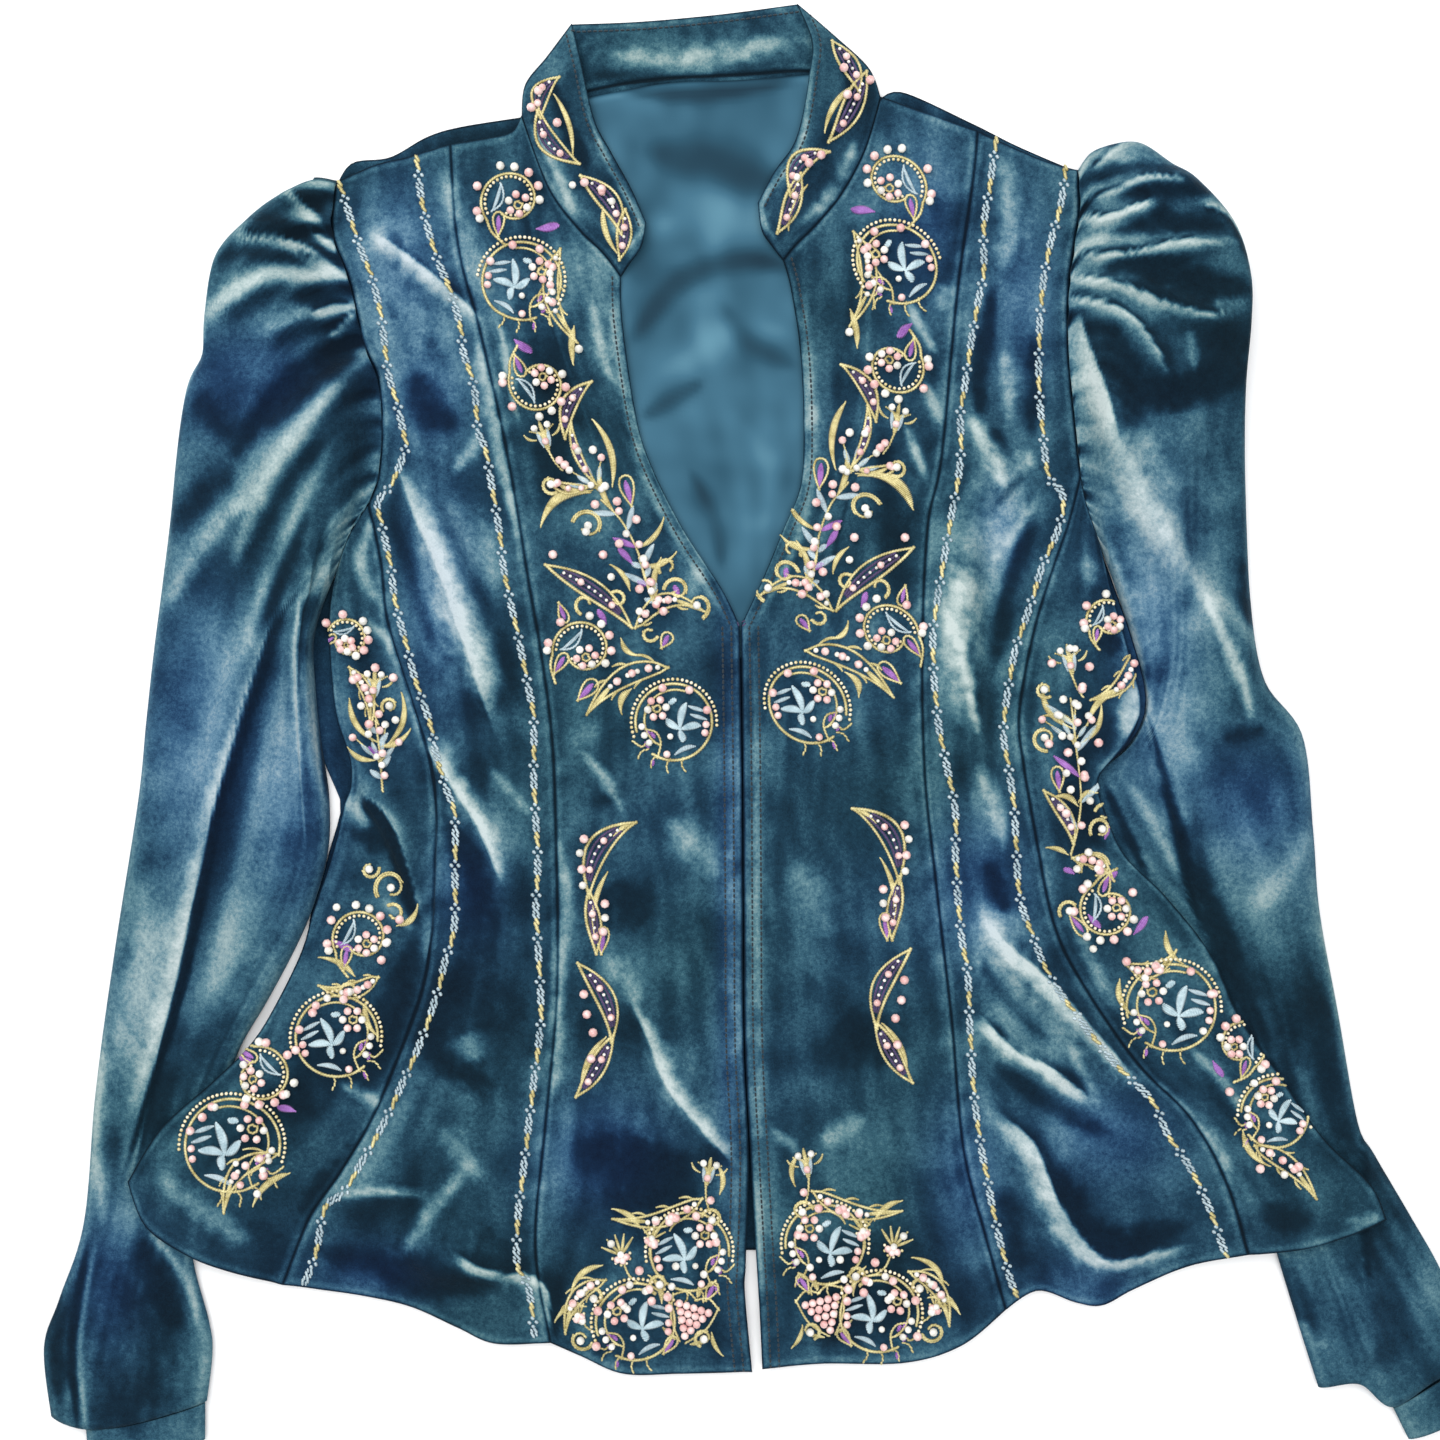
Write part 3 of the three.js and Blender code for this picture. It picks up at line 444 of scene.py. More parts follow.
@dataclass
class Shell:
    """A wall of cloth between an upper and a lower grid of points.

    Args:
        name: the piece's name.
        upper: the grid that shows, as rows of x, y, z in millimetres.
        lower: the grid under it.
        nap: how pale the pile shows at each upper point, from its own marks and from painted highlights and
            painted shade.
        blue: how blue it looks there.
        ring: True for a tube, whose columns close.
    """

    name: str
    upper: Array
    lower: Array
    nap: Array
    blue: Array
    ring: bool = False
    obj: bpy.types.Object | None = field(default=None)

    def cut(self) -> Cut:
        """Measures the flat size of the cloth, along it.

        Returns:
            What it was cut to.
        """
        grid = self.upper * MM
        around = np.concatenate([grid, grid[:, :1]], axis=1) if self.ring else grid
        width = float(np.linalg.norm(np.diff(around, axis=1), axis=2).sum(axis=1).max())
        length = float(np.linalg.norm(np.diff(grid, axis=0), axis=2).sum(axis=0).max())
        a, b = grid[1:, 1:] - grid[:-1, :-1], grid[1:, :-1] - grid[:-1, 1:]
        area = float(np.linalg.norm(np.cross(a, b), axis=2).sum() / 2)
        return Cut(round(width, 3), round(length, 3), round(min(area, 0.999 * width * length), 4))

    def build(self) -> None:
        """Makes the closed mesh, with the pile's marks and its painted light and shade as an attribute."""
        rows, columns = self.upper.shape[:2]
        spans = columns if self.ring else columns - 1
        below = rows * columns
        grid = placed(np.concatenate([self.upper.reshape(-1, 3), self.lower.reshape(-1, 3)]))
        j, i = (index.ravel() for index in np.meshgrid(np.arange(rows - 1), np.arange(spans), indexing="ij"))
        k = (i + 1) % columns
        top, low = j * columns, (j + 1) * columns
        quad = np.column_stack([top + i, low + i, low + k, top + k])
        faces = [quad, quad[:, ::-1] + below]
        for row, turn in ((0, 1), (rows - 1, -1)):
            a = row * columns + np.arange(spans)
            b = row * columns + (np.arange(spans) + 1) % columns
            faces.append(np.column_stack([a, b, b + below, a + below])[:, ::turn])
        for column, turn in () if self.ring else ((0, -1), (columns - 1, 1)):
            a = np.arange(rows - 1) * columns + column
            faces.append(np.column_stack([a, a + columns, a + columns + below, a + below])[:, ::turn])
        faces = np.concatenate(faces)
        if self._inside_out(grid, quad):
            faces = faces[:, ::-1]
        mesh = bpy.data.meshes.new(self.name + "_cloth")
        mesh.vertices.add(len(grid))
        mesh.vertices.foreach_set("co", grid.ravel())
        mesh.loops.add(faces.size)
        mesh.loops.foreach_set("vertex_index", faces.ravel().astype(np.int32))
        mesh.polygons.add(len(faces))
        mesh.polygons.foreach_set("loop_start", np.arange(0, faces.size, 4, dtype=np.int32))
        mesh.polygons.foreach_set("use_smooth", np.ones(len(faces), bool))
        mesh.update(calc_edges=True)
        for key, shade in (("nap", self.nap), ("blue", self.blue)):
            values = np.concatenate([shade.ravel(), shade.ravel()]).astype(np.float32)
            mesh.attributes.new(key, "FLOAT", "POINT").data.foreach_set("value", values)
        mesh.validate()
        self.obj = bpy.data.objects.new(mesh.name, mesh)
        bpy.context.collection.objects.link(self.obj)

    def _inside_out(self, grid: Array, quad: Array) -> bool:
        """Whether the upper faces look down.

        Args:
            grid: the mesh's points.
            quad: the upper faces.

        Returns:
            True if they do.
        """
        a, b, c = grid[quad[:, 0]], grid[quad[:, 1]], grid[quad[:, 2]]
        z = np.cross(b - a, c - a)[:, 2]
        columns = self.upper.shape[1]
        upward = quad[:, 0] % columns < columns * (0.5 if self.ring else 1.0)
        return float(z[upward].sum()) < 0


# Folds in plan: height, half width and line, and True where one starts at a seam
FOLDS: dict[str, list[Fold]] = {name: [Fold(*row) for row in rows] for name, rows in {
    "front": [
        (5, 9, "-202.5,276.5 -182.5,260.5 -150,236.5"), (4, 9, "-137.5,234.5 -124,215 -122.5,176"),
        (6, 11, "-183.5,147 -160,91.5 -141,38 -133.5,8"), (-2.5, 8, "-166.5,146 -144.5,96.5 -127,41"),
        (5, 10, "-171.5,-4 -150,-38 -133.5,-63.5 -122.5,-107.5"),
        (4, 11, "-228.5,-253.5 -199.5,-248 -175,-250.5"),
        (6, 11, "-183.5,-274.5 -169,-290 -141,-290 -118.5,-295"), (4, 10, "-88,5.5 -78.5,-19 -70.5,-37.5"),
        (6, 13, "-55,-110.5 -45,-168.5 -27.5,-209 -5,-234.5"), (5, 10, "124,177 138.5,139 146.5,131.5"),
        (6, 14, "114,126.5 118.5,74 118.5,8 127.5,-36"), (-3, 7, "136.5,126.5 133.5,76 137,25.5 143.5,-29.5"),
        (6, 11, "128.5,-98 149,-123 169.5,-143 204.5,-179"), (4, 10, "126,-155.5 149,-174 184.5,-193.5"),
        (6, 13, "138.5,-214 169.5,-234.5 179.5,-264.5 202,-285 235,-279.5"),
        (5, 8, "-215,-30.5 -197,-36 -187.5,-53.5 -177,-97"), (4, 10, "174.5,74 180,19 169,-36 188,-80"),
        (4, 12, "42.5,-256 48,-305 41,-338"), (4, 12, "-78.5,-294 -73,-322 -78.5,-341"),
    ],
    "left": [
        (3.5, 5, "-227,298.5 -254,291", True), (4.5, 6, "-223.5,282 -249,275.5 -273,268", True),
        (4.5, 5.5, "-218.5,264.5 -249,260 -278,248", True), (5, 6, "-214,246.5 -254,243.5 -287,223.5", True),
        (4, 4.5, "-209.5,229 -234.5,224 -260,210.5", True), (-3, 6, "-207.5,216 -246,186 -271.5,153", True),
        (6, 9, "-204,202 -240,160 -264.5,122.5 -280,88.5", True),
        (3.5, 9, "-267.5,131.5 -292,107.5 -312.5,76"),
        (6, 10, "-251,96.5 -275,29.5 -295.5,-58.5 -317,-132 -327,-195.5"),
        (-3, 7, "-249,58 -264.5,-15 -282,-91 -296.5,-146"),
        (3, 9, "-239.5,63.5 -243,41 -241.5,-4 -239.5,-43"), (3, 10, "-331.5,-289 -325,-327 -328.5,-363"),
    ],
    "right": [
        (3.5, 5, "185.5,305 203.5,316", True), (5, 6, "185,291 222,298.5 246,298", True),
        (4, 5, "183.5,278 209,282.5 229.5,284.5", True), (5, 6, "180,262 222,260 264,266", True),
        (4.5, 5.5, "178,247 213,240.5 243,227 268.5,226", True),
        (4, 6, "178,232.5 207.5,221.5 229.5,194.5", True), (-3, 9, "202,199.5 232,181.5 268,191"),
        (6.5, 11, "182.5,217.5 203.5,148.5 235,93.5 262.5,56.5 301,11"), (3.5, 9, "245,69 255,47 271,7"),
        (5, 7, "225,8 232.5,-25 241.5,-60.5 254.5,-107.5"), (3.5, 12, "279,-36 290,-107.5 306.5,-179"),
        (3.5, 8, "339.5,-283 342.5,-316 346,-349"),
    ],
}.items()}

# Pleats in photograph pixels: height, width and line, and -1 where the upper layer lies to its right
PLEATS: dict[str, list[Pleat]] = {name: [Pleat(*row) for row in rows] for name, rows in {
    "front": [
        (2.2, 13, "356,780 372,806 392,842 408,876 422,918"),
        (1.8, 10, "408,690 424,740 436,790 440,850 436,920 424,980"),
    ],
    "left": [
        (2.6, 16, "290,618 262,690 241,760 224,816 206,903 180,1010 150,1100 128,1176", -1.0),
        (1.6, 9, "310,585 303,666 308,780 312,850"),
    ],
    "right": [
        (2.4, 14, "1140,700 1158,770 1176,840 1198,935"), (1.8, 10, "1361,1120 1361,1194 1363,1290"),
    ],
}.items()}


@dataclass(frozen=True)
class PileAndLightStroke:
    """A pale stroke, or a dark one where its strength is below zero: pile marks, painted highlights on folds
    and painted shade in hollows.

    Args:
        strength: of the stroke.
        width: its half width at its middle, in photograph pixels.
        line: where it runs, in photograph pixels.
    """

    strength: float
    width: float
    line: str

    def near(self, plan: Array, reach: float) -> Array | None:
        """The stroke's line, if a piece lies near it.

        Args:
            plan: the piece's points, in rows.
            reach: how many times the stroke's width counts as near.

        Returns:
            The line in plan, or None.
        """
        line = from_photo(points(self.line))
        low, high = line.min(axis=0), line.max(axis=0)
        away = reach * self.width * PIXEL
        missed = (plan.max(axis=(0, 1)) < low - away).any() or (plan.min(axis=(0, 1)) > high + away).any()
        return None if missed else line

    def over(self, plan: Array, wobble: Array) -> Array | float:
        """The stroke's share at each point, with ends that taper and ragged sides.

        Args:
            plan: the points, in rows.
            wobble: how ragged it is at each of them.

        Returns:
            What it adds to the pile's tone and painted light there.
        """
        line = self.near(plan, 3.2)
        if line is None:
            return 0.0
        away, along = nearest(plan, spline_at(line, np.linspace(0, 1, 4 * len(line))))
        body = np.sin(math.pi * np.clip(0.04 + 0.92 * along, 0, 1))
        width = self.width * PIXEL * (0.4 + 0.6 * body) * (1 + 0.22 * wobble)
        return 0.88 * self.strength * smooth(1.6 * body) * (1 + 0.42 * wobble) * np.exp(-(away / width) ** 2)


@dataclass(frozen=True)
class PaintedCrestLight(PileAndLightStroke):
    """The crisp edge of a fold: a painted highlight along its crest and painted shade just beyond it, fading
    off gently behind it.

    Args:
        strength: how bright the painted highlight on the crest is.
        width: over which it fades off behind, in photograph pixels.
        line: the crest, in photograph pixels.
        side: 1 if the fold lies to the left as one walks along the line, else -1.
        shade: how dark the painted shade is just beyond the crest.
        step: over which pale turns to dark, in millimetres.
    """

    side: float = -1.0
    shade: float = 0.5
    step: float = 2.4

    def over(self, plan: Array, wobble: Array) -> Array | float:
        """The crest's share at each point.

        Args:
            plan: the points, in rows.
            wobble: how ragged it is at each of them.

        Returns:
            What it adds to the pile's tone and painted light there.
        """
        line = self.near(plan, 4.0)
        if line is None:
            return 0.0
        off, along = beside(plan, spline_at(line, np.linspace(0, 1, 6 * len(line))))
        off = off * self.side
        body = smooth(1.7 * np.sin(math.pi * np.clip(0.03 + 0.94 * along, 0, 1)))
        width = self.width * PIXEL * (1 + 0.3 * wobble)
        behind = self.strength * np.exp(-np.clip(off, 0, None) / width)
        beyond = smooth(off / self.step + 1) * (self.strength + self.shade) - self.shade
        beyond = beyond * np.exp(-np.clip(-off - self.step, 0, None) / (0.8 * width))
        return body * (1 + 0.2 * wobble) * np.where(off >= 0, behind, beyond)


def streaks(u: Array, v: Array, wide: float, long: float, seed: int) -> Array:
    """Uneven marks that run down a piece.

    Args:
        u, v: the shares across and down.
        wide, long: the piece's size, in millimetres.
        seed: of their places.

    Returns:
        One number for each point, about -1 to 1.
    """
    across, down = np.broadcast_arrays(u * wide, v * long)
    bend = ripple(np.stack([across, down * 0.6], axis=-1), 70.0, seed + 3)
    coarse = ripple(np.stack([across + 9 * bend, down * 0.24], axis=-1), 17.0, seed)
    fine = ripple(np.stack([across + 6 * bend, down * 0.3], axis=-1), 7.0, seed + 1)
    return 0.62 * coarse + 0.38 * fine


def blueness(plan: Array) -> Array:
    """How blue rather than teal the pile looks.

    Args:
        plan: points in plan, in rows.

    Returns:
        One number for each point, from 0 to 1.
    """
    blue = 0.22 + 0.13 * ripple(plan, 80.0, 77)
    for x, y, wide, high in BLUE_STRETCHES:
        off = (plan - from_photo([(x, y)])[0]) / (np.array([wide, high]) * PIXEL)
        blue += 0.8 * np.exp(-(off[..., 0] ** 2 + off[..., 1] ** 2))
    return np.clip(blue, 0.0, 1.0)


def size_across(grid: Array) -> tuple[Array, Array]:
    """The width of each row of a grid and the length of each of its columns."""
    return (np.linalg.norm(np.diff(grid, axis=1), axis=2).sum(axis=1),
            np.linalg.norm(np.diff(grid, axis=0), axis=2).sum(axis=0))


def pile_with_painted_light(grid: Array, u: Array, v: Array, pile_and_light_strokes: list[PileAndLightStroke], seed: int, base: float,
            rough: float) -> Array:
    """How pale the pile shows over a grid, with painted light from the slope of the cloth.

    Args:
        grid: rows of x, y, z in millimetres.
        u, v: the shares across and down at which the grid was made.
        pile_and_light_strokes: the strokes over it, of pile marks, painted highlights and painted shade.
        seed: of the uneven patches.
        base: how pale it is elsewhere.
        rough: how ragged the strokes are.

    Returns:
        One number for each point, about 0 where darkest and 1 where palest.
    """
    normal = np.cross(np.gradient(grid, axis=1), np.gradient(grid, axis=0))
    normal /= np.linalg.norm(normal, axis=2, keepdims=True) + 1e-9
    normal *= np.where(normal[..., 2:3] < 0, -1.0, 1.0)
    plan = grid[..., :2]
    # Painted light: pale where the cloth slopes towards a light at the upper left, dark where it slopes away.
    painted_lighting = -0.55 * normal[..., 0] + 0.85 * normal[..., 1]
    nap = base + 0.42 * np.clip(painted_lighting, -0.6, 0.8)
    wobble = (0.45 * ripple(plan, 9.0, seed + 5) + 0.3 * ripple(plan, 24.0, seed + 6)
              + 0.45 * ripple(plan, 4.6, seed + 7)) * rough
    for pile_light_stroke in pile_and_light_strokes:
        nap += pile_light_stroke.over(plan, wobble)
    wide, long = (float(sizes.mean()) for sizes in size_across(plan))
    nap += 0.085 * streaks(u[None, :], v[:, None], wide, long, seed)
    nap += 0.035 * ripple(plan, 14.0, seed + 8) + 0.05 * ripple(plan, 46.0, seed + 9)
    darkest, knee = 0.05, 0.18
    low = darkest + (knee - darkest) * np.exp(np.minimum(nap - knee, 0.0) / (knee - darkest))
    return np.where(nap < knee, low, nap)


# Painted highlights on fold crests with painted shade beyond them, in photograph pixels: strength, width and
# line, and side, shade and step if not plain
PAINTED_CREST_LIGHT: dict[str, list[tuple]] = {
    "sleeve_left": [
        (0.5, 8, "289,196 303,209 322,227 331,239 337,247", -1.0, 0.4, 4.5),
        (0.5, 5, "310,233 322,241 335,249 341,260"),
        (0.5, 8, "246,246 259,252 275,250 291,249 307,254 327,265 348,278", -1.0, 0.4, 4.5),
        (0.3, 6, "297,257 307,265 323,269 338,276 354,287", -1.0, 0.4, 3.4),
        (0.55, 7, "318,321 331,316 343,308 359,308"), (0.5, 6, "334,343 345,330 354,321 361,319"),
        (0.4, 7, "326,564 281,618 272,637 236,749 205,875 178,992 146,1123 130,1190", -1.0, 0.4),
        (0.24, 7, "315,641 317,709 326,803", -1.0, 0.4),
    ],
    "sleeve_right": [
        (0.6, 6, "1082,206 1107,201 1136,191 1180,197"), (0.6, 6, "1079,222 1107,225 1142,213"),
        (0.66, 5, "1070,260 1101,264 1127,265 1162,256 1219,252"),
        (0.55, 9, "1066,281 1091,288 1121,301 1154,315 1195,325 1223,323"),
        (0.5, 7, "1064,302 1091,309 1117,325 1138,350 1158,382"),
        (0.4, 16, "1073,313 1084,354 1095,394 1107,447"),
        (0.4, 6, "1186,215 1215,223 1233,244 1243,272", 1.0), (0.4, 8, "1090,175 1108,158 1120,150"),
    ],
    "front": [
        (0.4, 10, "982,917 1003,944 1031,967 1063,999 1095,1036 1132,1078"),
        (0.45, 9, "976,1013 1012,1050 1049,1068 1090,1100"),
        (0.45, 10, "994,1110 1031,1142 1049,1188 1081,1238 1104,1257 1141,1254 1187,1243", -1.0, 0.6),
        (0.35, 10, "372,236 410,262 446,290 482,322"),
        (0.3, 14, "398,460 417,513 436,555 455,605 476,668 499,736", 1.0, 0.3),
        (0.45, 10, "427,742 459,789 483,826 504,878", 1.0, 0.4),
        (0.4, 8, "630,992 650,1034 667,1079 696,1115 738,1163", 1.0, 0.3),
        (0.5, 9, "455,1250 491,1266 532,1275 549,1292 549,1326", -1.0, 0.6),
    ],
    "side": [
        (0.5, 7, "366,792 394,817 412,866 424,920", 1.0, 0.9),
        (0.3, 8, "1140,703 1127,726 1109,754 1090,777", -1.0, 0.5),
    ],
}

# Strokes of pile marks, painted highlights and painted shade, in photograph pixels: strength, half width and
# line
PILE_AND_LIGHT_STROKES: dict[str, list[tuple]] = {
    "sleeve_left": [
        (0.25, 5, "289,195 315,224 342,264"), (0.3, 5, "239,241 273,252 306,254 342,272"),
        (-0.4, 8, "247,228 289,233 330,256"), (-0.5, 12, "228,282 256,264 320,272"),
        (0.52, 12, "212,334 240,306 285,284 342,283"), (-0.6, 8, "300,309 330,303 356,300"),
        (0.25, 5, "322,325 340,315 363,311"), (-0.6, 18, "368,344 330,380 277,424 238,466"),
        (0.6, 11, "362,372 320,430 280,486 256,536 237,572"), (-0.25, 10, "335,440 296,489 268,545"),
        (0.52, 11, "258,500 222,534 192,574 170,606"), (-0.3, 15, "247,474 201,508 176,538"),
        (0.5, 8, "214,325 195,374 184,414"), (-0.35, 17, "205,396 242,444"),
        (0.32, 8, "342,450 315,498 289,553 266,605 247,668"), (-0.4, 9, "318,515 292,574 272,628"),
        (0.5, 9, "384,470 350,520 323,582 287,622"),
        (-0.7, 3.4, "288,618 262,690 241,760 224,816 206,903 180,1010 150,1100 126,1178"),
        (0.42, 8, "268,660 235,760 212,830 195,910 165,1020 132,1115"),
        (0.17, 30, "290,690 276,790 240,930 200,1040"), (0.4, 3.5, "306,595 301,666 307,775"),
        (-0.7, 6, "322,640 331,730 336,812"), (0.35, 9, "107,1030 101,1129 107,1225"),
        (-0.5, 12, "144,1232 163,1280 180,1330"), (0.4, 5, "150,1222 189,1276 202,1330"),
        (-0.12, 30, "205,930 215,1060 160,1180"), (0.2, 14, "150,860 140,960 122,1060"),
        (0.22, 40, "180,900 150,1020 126,1120"), (-0.4, 9, "62,1290 60,1340 66,1400"),
        (-0.45, 4, "92,1236 81,1300 76,1350 83,1430"), (0.3, 4, "100,1236 89,1300 84,1350 91,1430"),
        (-0.26, 60, "140,1240 136,1330 150,1430"),
    ],
    "sleeve_right": [
        (0.3, 6, "1095,157 1124,170 1166,178"), (0.25, 4, "1080,209 1112,195 1145,186 1186,194"),
        (-0.45, 8, "1088,190 1124,178 1182,182"), (-0.35, 9, "1100,213 1133,203 1210,203"),
        (0.3, 4, "1080,238 1107,224 1140,217"), (-0.6, 9, "1096,247 1150,235 1220,239"),
        (0.2, 6, "1194,214 1225,230 1240,253"), (0.22, 4.5, "1094,263 1145,266 1187,258 1230,249"),
        (-0.85, 13, "1090,275 1145,279 1208,296 1244,299"),
        (0.3, 6.5, "1072,284 1107,296 1145,313 1179,323 1222,321"), (0.3, 14, "1200,318 1236,306"),
        (0.16, 6, "1076,301 1112,321 1141,346 1158,386"),
        (-0.85, 15, "1101,338 1124,388 1162,401 1200,388 1246,374"), (-0.5, 14, "1195,350 1240,352"),
        (0.35, 6, "1178,338 1184,380"),
        (0.4, 13, "1076,322 1086,376 1107,443 1133,502 1166,553 1196,595 1234,624 1254,650"),
        (0.34, 26, "1140,425 1136,500 1168,545"), (0.65, 6, "1194,590 1217,645 1238,687 1247,726"),
        (0.16, 30, "1187,410 1212,525"), (-0.35, 10, "1236,560 1246,632"), (-0.35, 9, "1214,738 1262,729"),
        (0.3, 6, "1103,540 1133,645 1162,800"), (-0.45, 16, "1188,830 1205,899 1231,977 1283,1107 1325,1180"),
        (0.28, 13, "1302,828 1283,868 1244,908"), (0.35, 6, "1315,890 1335,1003 1362,1135"),
        (-0.5, 4, "1360,1125 1361,1194 1363,1284"), (0.45, 7, "1125,780 1153,825 1176,878"),
        (-0.6, 5, "1101,782 1127,838 1146,880"), (-0.7, 5, "1144,712 1158,770 1176,840 1196,925"),
        (-0.3, 12, "1280,1255 1317,1345"), (0.25, 9, "1296,1318 1322,1346"),
        (-0.25, 40, "1290,950 1340,1150 1400,1340"), (-0.3, 34, "1150,300 1200,350 1230,400"),
        (0.2, 40, "1130,520 1160,640 1190,780"),
    ],
    "front": [
        (-0.7, 4.5, "562,1266 556,1298 554,1340"), (0.24, 44, "372,190 400,300 432,470"),
        (0.34, 6, "615,280 617,353 633,424 650,486 684,551 719,608 731,632"),
        (0.34, 6, "803,284 807,353 811,414 809,486 798,538 777,583 756,622"),
        (0.24, 6, "754,640 757,900 760,1340"), (0.14, 5, "729,640 732,900 736,1340"),
        (0.2, 40, "566,230 590,320 600,380"), (0.46, 42, "430,500 462,600 480,700"),
        (0.36, 40, "1004,430 986,560 980,700"), (0.2, 26, "984,900 1000,960 1010,1040"),
        (0.22, 44, "1000,880 1030,1040 1070,1180"), (0.12, 40, "1020,180 1010,300 1000,420"),
        (-0.24, 32, "390,1250 450,1250 520,1262"), (-0.2, 34, "470,880 490,980 490,1120"),
        (0.45, 10, "371,233 408,260 446,289 482,321"), (0.36, 14, "442,172 459,218 476,268 484,314"),
        (0.5, 7, "476,330 488,395 505,479 523,546"), (0.5, 4, "501,322 509,369 519,424"),
        (-0.45, 18, "415,370 430,416 463,424"), (0.55, 6, "453,474 474,451 480,430"),
        (0.42, 13, "398,460 417,513 436,555 455,605 476,668 499,736"),
        (-0.42, 13, "436,496 463,563 497,626 516,694"), (-0.3, 9, "396,521 417,584 436,652"),
        (0.65, 9.5, "427,742 459,789 483,826 504,878"), (0.4, 7, "492,768 532,815"),
        (-0.4, 12, "446,812 470,860 500,930"), (0.52, 6, "579,748 606,777 624,813"),
        (0.38, 15, "662,818 700,850 722,880"), (0.55, 10, "630,992 650,1034 667,1079 696,1115 738,1163"),
        (0.3, 15, "602,955 646,997"), (-0.45, 26, "573,1150 647,1160 690,1156"),
        (0.28, 20, "470,1030 478,1060"), (0.38, 12, "440,1124 486,1177"),
        (0.65, 4.5, "340,1190 385,1187 430,1191"), (0.5, 9, "404,1250 438,1201 466,1168"),
        (-0.6, 9, "410,1261 455,1283 516,1270"), (0.55, 7.5, "455,1252 491,1271 532,1275 551,1290"),
        (-0.35, 12, "318,1248 380,1262 450,1300"), (0.4, 7, "556,826 569,903 561,969 559,1050 549,1110"),
        (-0.3, 22, "610,880 640,930"), (-0.4, 16, "470,960 430,1040 500,1090"),
        (-0.4, 30, "600,1200 700,1190"), (0.3, 9, "688,600 700,560 676,500"),
        (-0.25, 20, "600,300 560,360 560,520"), (0.35, 5, "592,300 604,360 618,390"),
        (0.5, 5, "906,303 925,340 936,356"), (0.36, 10, "947,286 941,314"),
        (-0.5, 9, "993,285 976,374 981,424"), (-0.35, 9, "1031,332 1031,441"), (0.32, 9, "1001,349 1010,424"),
        (0.55, 6, "924,384 938,424"), (0.55, 5, "902,426 917,458 926,483"),
        (0.62, 8, "965,416 984,449 1003,491"), (0.32, 10, "1014,468 1033,456"), (-0.3, 9, "990,430 1010,462"),
        (0.3, 5, "1037,498 1009,538 991,566"), (-0.62, 12, "1036,518 1009,584 992,674"),
        (0.46, 15, "967,556 951,647 968,738"), (0.6, 6, "940,600 959,660 977,738"),
        (0.5, 9, "972,760 993,809 1002,850"), (-0.45, 10, "984,858 1006,915"),
        (0.6, 10, "974,905 1005,944 1042,981 1075,1018 1107,1050 1136,1084"),
        (-0.35, 10, "977,950 1001,993 1052,1046"), (0.6, 7, "970,1019 1001,1042 1034,1062 1087,1103"),
        (0.3, 5, "1064,1038 1097,1104"),
        (0.6, 10.5, "985,1111 1018,1140 1038,1173 1050,1209 1075,1242 1107,1258 1148,1250 1184,1242"),
        (-0.6, 12, "1056,1160 1079,1222 1120,1236 1186,1220"), (-0.4, 12, "991,1058 1042,1099 1111,1134"),
        (0.32, 9, "818,1142 866,1114"), (0.35, 6, "771,1126 799,1150"), (-0.3, 40, "800,1300 920,1290"),
        (-0.3, 14, "1004,1180 1020,1270"), (-0.25, 30, "840,1010 900,1060"), (0.18, 20, "790,860 830,940"),
        (0.3, 14, "1000,150 1010,230 996,270"), (-0.3, 12, "880,420 890,540 900,600"),
    ],
    "side": [
        (-0.7, 4.5, "360,800 387,826 404,872 415,922"), (0.5, 8, "378,515 362,560 380,604"),
        (0.5, 7, "362,618 392,643 413,689 422,736"), (0.45, 9, "336,800 356,806 372,830"),
        (-0.4, 12, "350,830 400,850 420,900"), (0.3, 6, "384,900 402,912 414,930"),
        (0.5, 6, "340,1080 372,1098 388,1112"), (-0.5, 10, "300,1230 330,1180 372,1130"),
        (0.35, 16, "160,1160 200,1200 256,1240"), (0.14, 40, "1130,900 1180,1000 1230,1100"),
        (-0.4, 14, "270,1090 320,1110"), (-0.35, 14, "420,930 400,1010 370,1080"),
        (0.28, 6, "1069,498 1052,563 1034,608"), (0.3, 9, "1084,556 1089,588"),
        (-0.45, 10, "1090,640 1120,646"), (0.5, 11, "1128,684 1118,736"), (-0.4, 12, "1060,780 1100,850"),
        (0.45, 7, "1181,1040 1213,1072 1237,1111"), (0.34, 6, "1138,1070 1170,1098 1213,1142 1223,1180"),
        (-0.5, 10, "1204,1168 1231,1241"), (0.36, 6, "1340,1216 1374,1211"),
        (-0.35, 14, "1254,1202 1304,1220"), (0.4, 9, "1060,900 1090,960 1110,1010"),
    ],
    "collar": [
        (0.14, 30, "590,60 700,56 810,50"), (0.42, 3.5, "588,116 607,162 640,226 636,243 618,262"),
        (0.42, 3.5, "808,116 796,158 764,204 764,226 784,250"), (0.5, 6, "530,125 556,172 577,222"),
        (0.42, 5, "609,216 624,242"), (-0.35, 8, "548,80 566,120 590,180"),
        (0.55, 7, "856,140 833,193 799,228"), (-0.35, 8, "846,60 852,110 820,150"),
        (0.35, 10, "600,52 680,60 795,40"), (-0.3, 10, "590,76 700,82 800,66"),
    ],
    "lining": [
        (-0.5, 22, "640,150 735,172 800,196"), (-0.55, 13, "630,345 680,282 740,262 800,270"),
        (0.28, 22, "640,236 700,212 795,232"), (0.25, 18, "660,380 740,330 800,340"),
        (-0.4, 10, "640,420 690,390 705,380"), (-0.35, 9, "690,470 715,520 722,570"),
        (0.2, 14, "740,420 770,480 760,540"), (-0.3, 12, "720,300 745,340 800,370"),
        (-0.5, 9, "610,90 700,96 800,80"),
    ],
}

